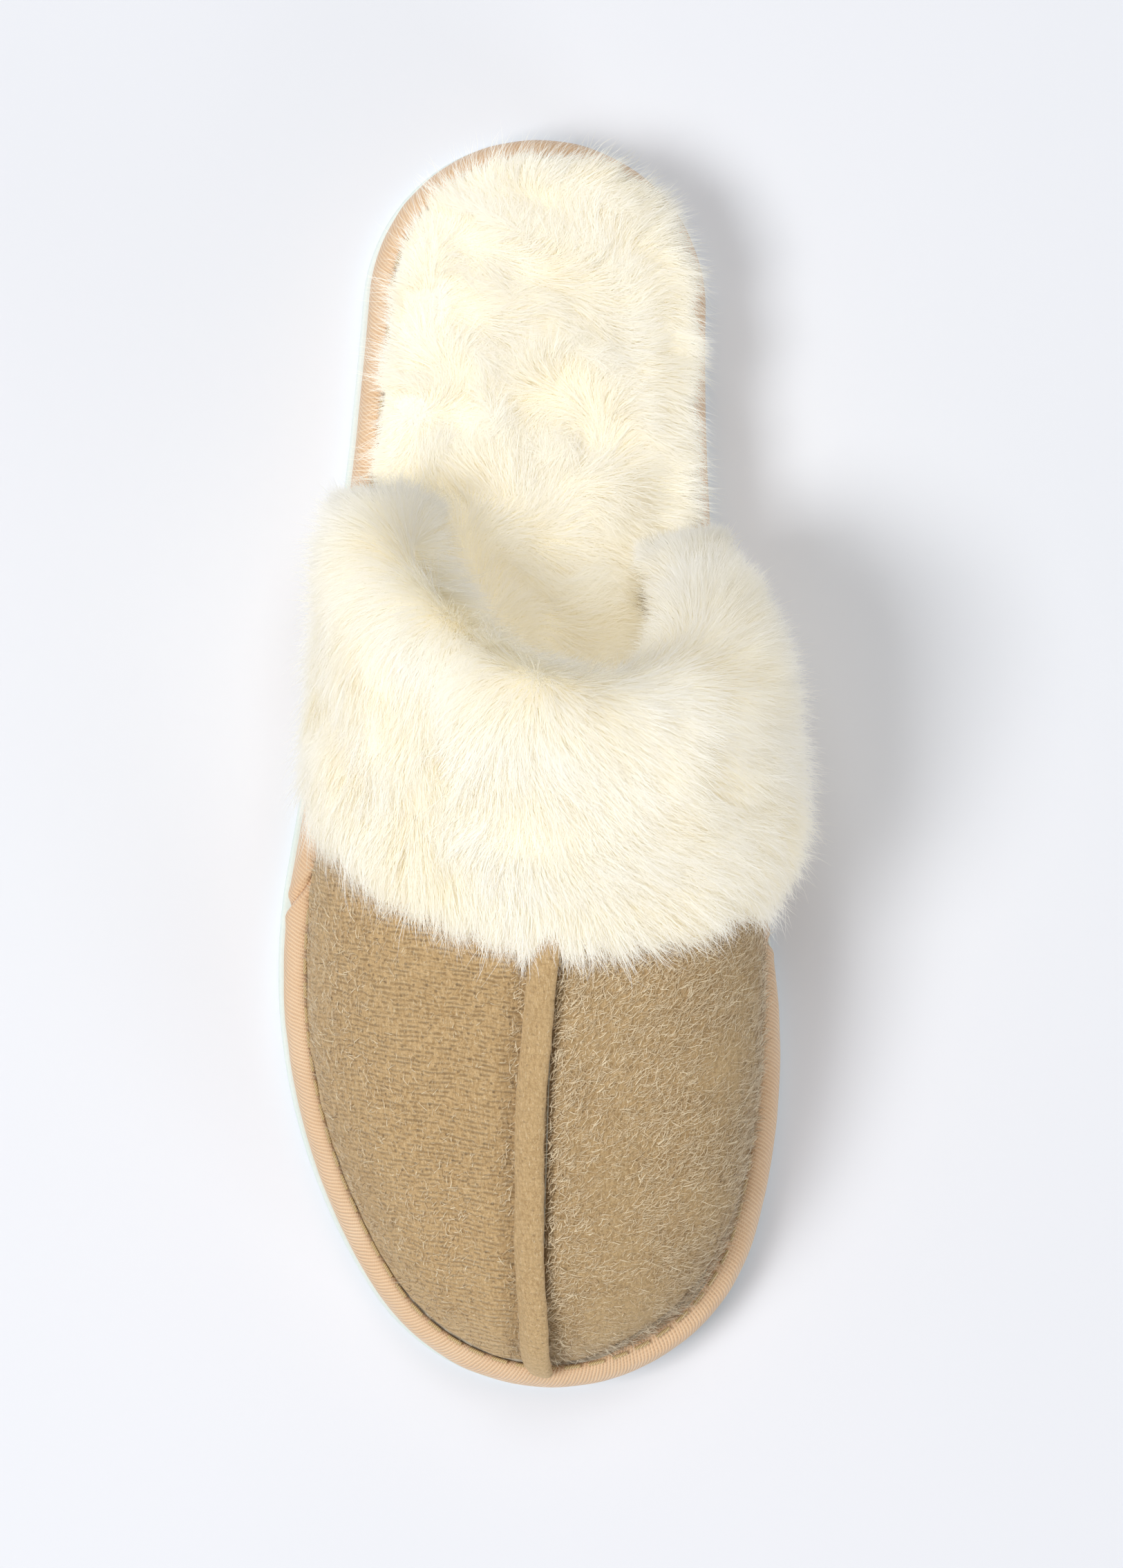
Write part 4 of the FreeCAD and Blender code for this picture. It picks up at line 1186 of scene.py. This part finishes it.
def make_cuff(upper, ground, strand, rng):
    """The plush cuff: a dense ground and combed pile that parts along the mouth's rim."""
    outer, inner = cuff_nets(upper)
    u, v = shares(240, 90)
    far, near = outer.grid(u, v), inner.grid(u, v)
    lobes = Hills(16.0, 41)(far) * 0.12 + Hills(7.0, 42)(far) * 0.05
    part = 0.38 * cuff_crease(far[..., 0], far[..., 1], 2.6)
    slim = 0.28 * big_toe_end(u[:, None], v[None])
    skin = near + (far - near) * (0.55 + lobes - part - slim)[:, :, None]
    piece = closed_slab("cuff_ground", skin, near)
    back = tree_of(near.reshape(-1, 3))

    def room(points):
        """Up to 2 mm of swelling where the cuff is thick."""
        depth = np.array([back.find(point)[2] for point in points.tolist()])
        return 0.1 + 1.9 * ease((depth - 1.5) / 2.5)

    swelling = swell(piece, skin, room)
    full = grid_normals(skin + swelling)
    finish_piece(piece, "plush_cream", ground, "collar_fur")

    def density(middle, u, v):
        """Thinner on the hidden inner side, none on the very end."""
        hidden = 0.35 + 0.65 * ease((0.95 - v) / 0.15)
        return CUFF_DENSITY * hidden * ease((0.99 - u) / 0.015)

    u, v = spread_roots(outer.grid, density, rng)
    roots = near_skin(outer, inner, u, v) + table_at(swelling, u, v)
    along, down, normal = outer.slopes(u, v)
    normal = unit(normal + table_at(full, u, v))
    x, y = roots[:, 0], roots[:, 1]
    # The pile parts along the rim: side is -1 on the outside of it and 1 inside.
    parting = 0.73 + 0.02 * np.sin(u * 23.0)
    side = np.tanh((v - parting) / 0.08)
    # hem, start and end are 1 at the lower edge, the little-toe end and the big-toe end.
    hem = ease((0.16 - v) / 0.16)
    end, start = ease((u - 0.74) / 0.20), ease((0.14 - u) / 0.12)
    # sway leans the pile along the cuff, toward the big-toe end where it is positive.
    sway = 0.15 + 1.1 * ease((x + 12) / 34) + 0.5 * Hills(20.0, 43)(roots)
    sway *= (1 - 0.5 * hem) * (1 - 0.6 * end)
    sway = np.where(v > parting, 0.15, sway)
    sway += 0.9 * end - 1.0 * start
    crease = cuff_crease(x, y, 5.0)
    sway += np.tanh((x - CREASE_X) / 2.5) * crease * 0.42 * (1 - hem)
    flow = unit(down * side[:, None] + along * sway[:, None])
    upright = 1 - np.abs(side)
    lift = 0.20 + 0.55 * upright + 0.08 * Hills(9.0, 44)(roots)
    length = rng.normal(CUFF_PILE, 1.3, len(roots)) * (1 - 0.12 * upright)
    length *= 1 - 0.35 * ease((v - 0.8) / 0.2) * (1 - end)
    length *= 1 + 0.34 * hem + 0.3 * ease((x - 30) / 16) * (1 - end)
    length *= 1 - 0.22 * end
    lift += 0.35 * end + 0.25 * start
    lift = lift * (1 - hem)
    clump = 0.24 + 0.36 * hem
    points = comb(roots, normal, flow, length, lift, rng, clump, 0.05, lowest=above_sole,
                  broad=0.35 + 0.45 * hem)
    # Along the crease the tone is pushed down: painted shade in the crease's valley.
    tone = random_tone(0.55, 0.25, 0.16, Hills(14.0, 45), roots, rng, 0.8 * crease)
    for tuft, facing in end_tufts(upper, rng):
        points, normal = np.concatenate([points, tuft]), np.concatenate([normal, facing])
        tone = np.concatenate([tone, rng.uniform(0.3, 0.8, len(tuft))])
    width = rng.uniform(0.08, 0.14, len(points))
    make_strands("cuff_pile", points, normal, width, tone, rng, strand, "plush_cream")


def end_tufts(upper, rng, count=9500):
    """Pile that closes each end of the cuff, over the edges of the layers under it."""
    share = np.linspace(0, 1, 25)
    for along, long, way in ((0.0, 6.5, -1), (1.0, 4.8, 1)):
        frames = np.array([[tuple(part) for part in upper.frame(along, rise)]
                           for rise in share])
        rise = rng.uniform(0.0, 1.0, count)
        place, sideways, upward, normal = (
            np.stack([np.interp(rise, share, frames[:, part, i]) for i in range(3)], 1)
            for part in range(4))
        depth = rng.uniform(-2.5, UPPER_WIDTH + 4.0, count)
        facing = unit(sideways * way + normal * (0.5 - depth / UPPER_WIDTH)[:, None] * 1.3)
        flow = unit(facing + upward * (0.6 * rise - 0.45)[:, None]
                    + rng.normal(0, 0.3, facing.shape))
        over_edge = rng.uniform(-0.5, 7.0, count) * ease((rise - 0.74) / 0.1)
        roots = (place - normal * depth[:, None] - sideways * (way * 0.8)
                 + upward * over_edge[:, None])
        length = rng.normal(long, 0.8, count)
        points = comb(roots, facing, flow, length, np.full(count, 0.3), rng, 0.15, 0.05,
                      lowest=above_sole)
        yield points, unit(facing + np.array([0, 0, 0.9]))


def near_skin(outer, inner, u, v):
    """Roots of the cuff's pile, a little below the skin of its dense ground."""
    far, near = outer.at(u, v), inner.at(u, v)
    share = 0.46 - 0.26 * big_toe_end(u, v)
    return near + (far - near) * share[:, None]


def sock_rings(count=300):
    """Plan edge of the sock, the line down its middle that each edge point faces, and how
    far each is on the open heel: the edge is in from the upper at the front, wide there."""
    distance = np.linspace(0, 1, count, endpoint=False)
    track = Track(0.0)
    point, outward = track.sample(distance * track.length)
    wide = ease((point[:, 1] - 46.0 + 0.1 * point[:, 0]) / 9.0)
    inset = 17.3 + (5.3 - 17.3) * wide
    edge = point - unit(outward) * inset[:, None]
    across = np.roll(edge[::-1], 1, axis=0)
    middle = np.clip((edge[:, 1] + across[:, 1]) / 2, -84, 96)
    spine = np.stack([np.interp(middle, [-105, -60, 40, 120], [3.0, 1.0, -1.0, 1.0]),
                      middle], 1)
    return edge, spine, wide


def sock_surface(u, v):
    """Grid of the sock ground: u round its edge, v from its middle over the rim to its
    foot.  The open heel's rim runs down to the board; the front stands on the foam."""
    edge, spine, wide = sock_rings()
    position = (u % 1) * len(edge)
    low = position.astype(int) % len(edge)
    share = (position - np.floor(position))[:, None]
    follow = (low + 1) % len(edge)
    edge = edge[low] * (1 - share) + edge[follow] * share
    spine = spine[low] * (1 - share) + spine[follow] * share
    wide = wide[low] * (1 - share[:, 0]) + wide[follow] * share[:, 0]
    turn = v * math.pi / 2
    round_up, straight_to = 0.3, 0.6
    reach, up = np.sin(turn) ** round_up, np.cos(turn) ** round_up
    straight = v / straight_to * np.sin(straight_to * math.pi / 2) ** round_up
    reach = np.where(v < straight_to, straight, reach)
    foot = PAD_TOP - 3.9 * wide
    plan = spine[:, None] + (edge - spine)[:, None] * reach[None, :, None]
    high = foot[:, None] + (PAD_TOP + SOCK_THICK - foot)[:, None] * up[None]
    surface = np.concatenate([plan, high[..., None]], -1)
    bumps = Hills(15.0, 51)(surface) * 0.9 + Hills(7.0, 52)(surface) * 0.35
    surface[..., 2] += bumps * ease((1 - v) / 0.35)
    return surface


def make_sock(ground, strand, rng):
    """The plush sock: loose, swept outward over the strip on the open heel."""
    surface = sock_surface(*shares(301, 60))
    rings = np.transpose(surface[:-1], (1, 0, 2))[1:]
    inner_ring = (rings[-1:] + rings[-1:].mean(1, keepdims=True)) * 0.5
    inner_ring[..., 2] = PAD_TOP - 0.08
    rings = np.concatenate([rings, inner_ring])
    piece = closed_tube("sock_ground", rings[::-1], paired=True)
    swelling = swell(piece, surface, lambda points: 0.1 + 1.2 * ease((points[:, 2] - 18) / 4))
    full = grid_normals(surface + swelling)
    finish_piece(piece, "plush_cream", ground, "insole_fur")

    def density(middle, u, v):
        """Thin under the toes, where the upper hides the sock."""
        under_toes = 1.2
        return under_toes + (SOCK_DENSITY - under_toes) * ease((middle[..., 1] + 40) / 40)

    u, v = spread_roots(sock_surface, density, rng, 240, 60)
    table = sock_surface(*shares(481, 161))
    points = table_at(table, u % 1, v)
    step = 0.004
    one = unit(table_at(table, (u + step) % 1, v) - table_at(table, (u - step) % 1, v))
    outwards = unit(table_at(table, u % 1, np.minimum(v + step, 1))
                    - table_at(table, u % 1, np.maximum(v - step, 0)))
    normal = unit(np.cross(outwards, one))
    normal = np.where(normal[:, 2:] < -0.2, -normal, normal)
    flat = ease((0.6 - v) / 0.3)[:, None]
    normal = unit(normal * (1 - flat) + np.array([0, 0, 1.0]) * flat)
    roots = points - normal * 1.0 + table_at(swelling, u, v) * (1 - flat)
    roots[:, 2:] += table_at(swelling, u, v)[:, 2:] * flat
    risen = table_at(full, u, v)
    risen *= np.sign((risen * normal).sum(1, keepdims=True))
    normal = unit(normal + risen * ease((v - 0.06) / 0.1)[:, None])
    x, y = roots[:, 0], roots[:, 1]
    # edge_share is 1 at the rim, where the pile points outward.  In the middle it swirls,
    # swept toward the toe on the big-toe side and toward that side at the heel's back.
    edge_share = ease((v - 0.25) / 0.5)
    swirl = Hills(26.0, 53)(roots) * 2.4
    free = np.stack([np.cos(swirl + 0.6), np.sin(swirl + 0.6), np.zeros(len(x))], 1)
    right = ease((x - 2) / 20)
    back = ease((y - 96) / 22)
    veer = Hills(12.0, 56)(roots) * 0.35
    sweep = np.stack([0.35 * right + 0.55 * back,
                      -0.55 * right * (1 - back) + 0.25 * back, np.zeros(len(x))], 1)
    out = outwards.copy()
    out[:, :2] += veer[:, None] * np.stack([-outwards[:, 1], outwards[:, 0]], 1)
    out[:, 2] = np.maximum(out[:, 2], -0.25)
    flow = unit(out * (1.35 * edge_share[:, None]) + sweep * (0.5 + edge_share[:, None])
                + free * (0.9 - 0.75 * edge_share[:, None]))
    lift = 0.34 - 0.12 * edge_share + 0.08 * Hills(10.0, 54)(roots)
    short = 0.72 - 0.44 * ease((x + 5) / 30)
    length = rng.normal(SOCK_PILE, 1.2, len(roots)) * (1 - short * edge_share)
    length *= 1 + 0.22 * Hills(8.0, 57)(roots)
    wisp = rng.random(len(roots)) < 0.08
    length = np.where(wisp, np.minimum(length * 2.0, 11.0), length)
    clump = 0.24 - 0.06 * edge_share
    fibres = comb(roots, normal, flow, length, lift, rng, clump, 0.05, 2.6, above_sole)
    tone = random_tone(0.5, 0.28, 0.16, Hills(13.0, 55), roots, rng)
    width = rng.uniform(0.08, 0.14, len(roots))
    make_strands("sock_pile", fibres, normal, width, tone, rng, strand, "plush_cream")


def make_lining(upper, ground, strand, rng):
    """Short plush inside the upper."""
    near, far = (layer_net(upper, 0, 1, 33, -depth) for depth in LINING_DEPTHS)
    u, v = np.linspace(0.002, 0.998, 150), np.linspace(0.0, 0.97, 60)
    back, skin = (raised(net.grid(u, v), UPPER_FOOT + 0.05) for net in (near, far))
    piece = closed_slab("lining_ground", back, skin)
    finish_piece(piece, "plush_cream", ground, "vamp_lining_fur")

    def density(middle, u, v):
        """Thin inside the toe, where nobody sees the lining."""
        in_toe = 0.5
        return in_toe + (LINING_DENSITY - in_toe) * ease((middle[..., 1] + 45) / 50)

    u, v = spread_roots(far.grid, density, rng)
    keep = (v > 0.1) & (v < 0.96)
    u, v = u[keep], v[keep]
    roots = far.at(u, v)
    along, up, normal = far.slopes(u, v)
    flow = unit(-up + along * 0.35 * Hills(15.0, 61)(roots)[:, None])
    length = rng.normal(LINING_PILE, 0.8, len(roots))
    lift = np.full(len(roots), 0.35)
    points = comb(roots, -normal, flow, length, lift, rng, 0.6, 0.04)
    tone = np.clip(0.45 + rng.normal(0, 0.2, len(roots)), 0, 1)
    width = rng.uniform(0.15, 0.23, len(roots))
    make_strands("lining_pile", points, -normal, width, tone, rng, strand, "plush_cream")


# ---------------------------------------------------------------- whole scene


def build_object():
    """Every piece with a mesh of its own, in an order that keeps the random draws."""
    rng = np.random.default_rng(SEED)
    upper = Upper()
    ground, strand = plush_ground_looks(), plush_strand_looks()
    suede_left = suede_looks("suede_ribbed", rgb(215, 182, 133), rgb(168, 133, 85), True)
    suede_right = suede_looks("suede_brushed", rgb(205, 175, 129), rgb(155, 125, 81), False)
    satin = satin_looks()
    lateral = layer_net(upper, 0, 0.499, 17, 0)
    medial = layer_net(upper, 0.501, 1, 17, 0)
    make_panel("panel_lateral", lateral, True, "vamp_lateral", suede_left)
    make_panel("panel_medial", medial, False, "vamp_medial", suede_right)
    suede_plain = suede_looks("suede_plain", rgb(213, 181, 133), rgb(170, 136, 89), False)
    make_seam_strip(upper, suede_plain)
    make_wadding(upper)
    make_footbed_pad()
    make_nap([lateral, medial], rng, nap_looks())
    track = Track(0.0)
    left = track.side_distance(-25.5, True)
    right = track.side_distance(-33.0, False)
    make_strip("strip_toe", left, right, -1, 1, satin, "wrap_toe", "wrap_join_stitches")
    make_strip("strip_heel", right, left + track.length, 1, -1, satin, "wrap_heel")
    make_cuff(upper, ground, strand, rng)
    make_sock(ground, strand, rng)
    make_lining(upper, ground, strand, rng)


def dress_cad_nodes():
    """Better materials for the CAD nodes whose shape stays."""
    thread = thread_looks()
    foam = padding_looks("open_cell_foam")
    board = foam_looks("insole_board_cloth", rgb(216, 208, 190), rgb(176, 166, 146))
    tape = foam_looks("topline_tape_cloth", rgb(240, 232, 212), rgb(206, 194, 168))
    wanted = {"outsole": outsole_looks(), "platform_foam": foam, "insole_board": board,
              "topline_tape": tape, "perimeter_stitches": thread,
              "collar_seam_stitches": thread, "mouth_seam_stitches": thread}
    for name, material in wanted.items():
        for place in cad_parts[name].material_slots:
            place.material = material


def make_floor():
    """A plain pale floor."""
    size = 3.0
    mesh = bpy.data.meshes.new("studio_floor")
    mesh.from_pydata([(-size, -size, 0), (size, -size, 0), (size, size, 0), (-size, size, 0)],
                     [], [(0, 1, 2, 3)])
    looks = Looks("studio_paper", roughness=0.9)
    looks.colour(looks.blotches(looks.place(), 0.004, 2.0, rgb(233, 235, 240),
                                rgb(236, 237, 242)))
    mesh.materials.append(looks.material)
    link_object("studio_floor", mesh)


def make_light():
    """A large soft light from the left, two weaker ones, and a pale sky that fills the
    shadows.  Places and sizes are metres and powers are watts."""
    target = Vector((0, 0, 0.02))
    for name, spot, width, power in (
        ("key_light", (-1.18, -0.34, 1.90), 0.9, 30.6),
        ("heel_light", (0.05, 0.95, 2.05), 1.2, 15.0),
        ("side_light", (1.20, -1.30, 0.50), 0.8, 7.5),
    ):
        light = bpy.data.lights.new(name, "AREA")
        light.size = width
        light.energy = power
        lamp = link_object(name, light)
        lamp.location = spot
        lamp.rotation_euler = (Vector(spot) - target).to_track_quat("Z", "Y").to_euler()
    world = bpy.data.worlds.new("studio")
    world.use_nodes = True
    sky = world.node_tree.nodes["Background"]
    sky.inputs["Color"].default_value = (0.95, 0.97, 1.0, 1)
    sky.inputs["Strength"].default_value = 0.295
    scene = bpy.context.scene
    scene.world = world
    scene.view_settings.view_transform = "Standard"
    scene.cycles.max_bounces = 9
    scene.cycles.diffuse_bounces = 7


def make_camera():
    """A long lens straight above, as the photo was taken."""
    camera = bpy.data.cameras.new("camera")
    camera.sensor_fit = "VERTICAL"
    camera.sensor_height = 36.0
    camera.lens = camera.sensor_height * CAMERA_AWAY / SEEN_LENGTH
    camera.clip_end = 20
    eye = link_object("camera", camera)
    x, y = CAMERA_PLAN
    eye.location = (x * MM, y * MM, (CAMERA_AWAY + MIDDLE_HEIGHT) * MM)
    bpy.context.scene.camera = eye


build_object()
dress_cad_nodes()
make_floor()
make_light()
make_camera()
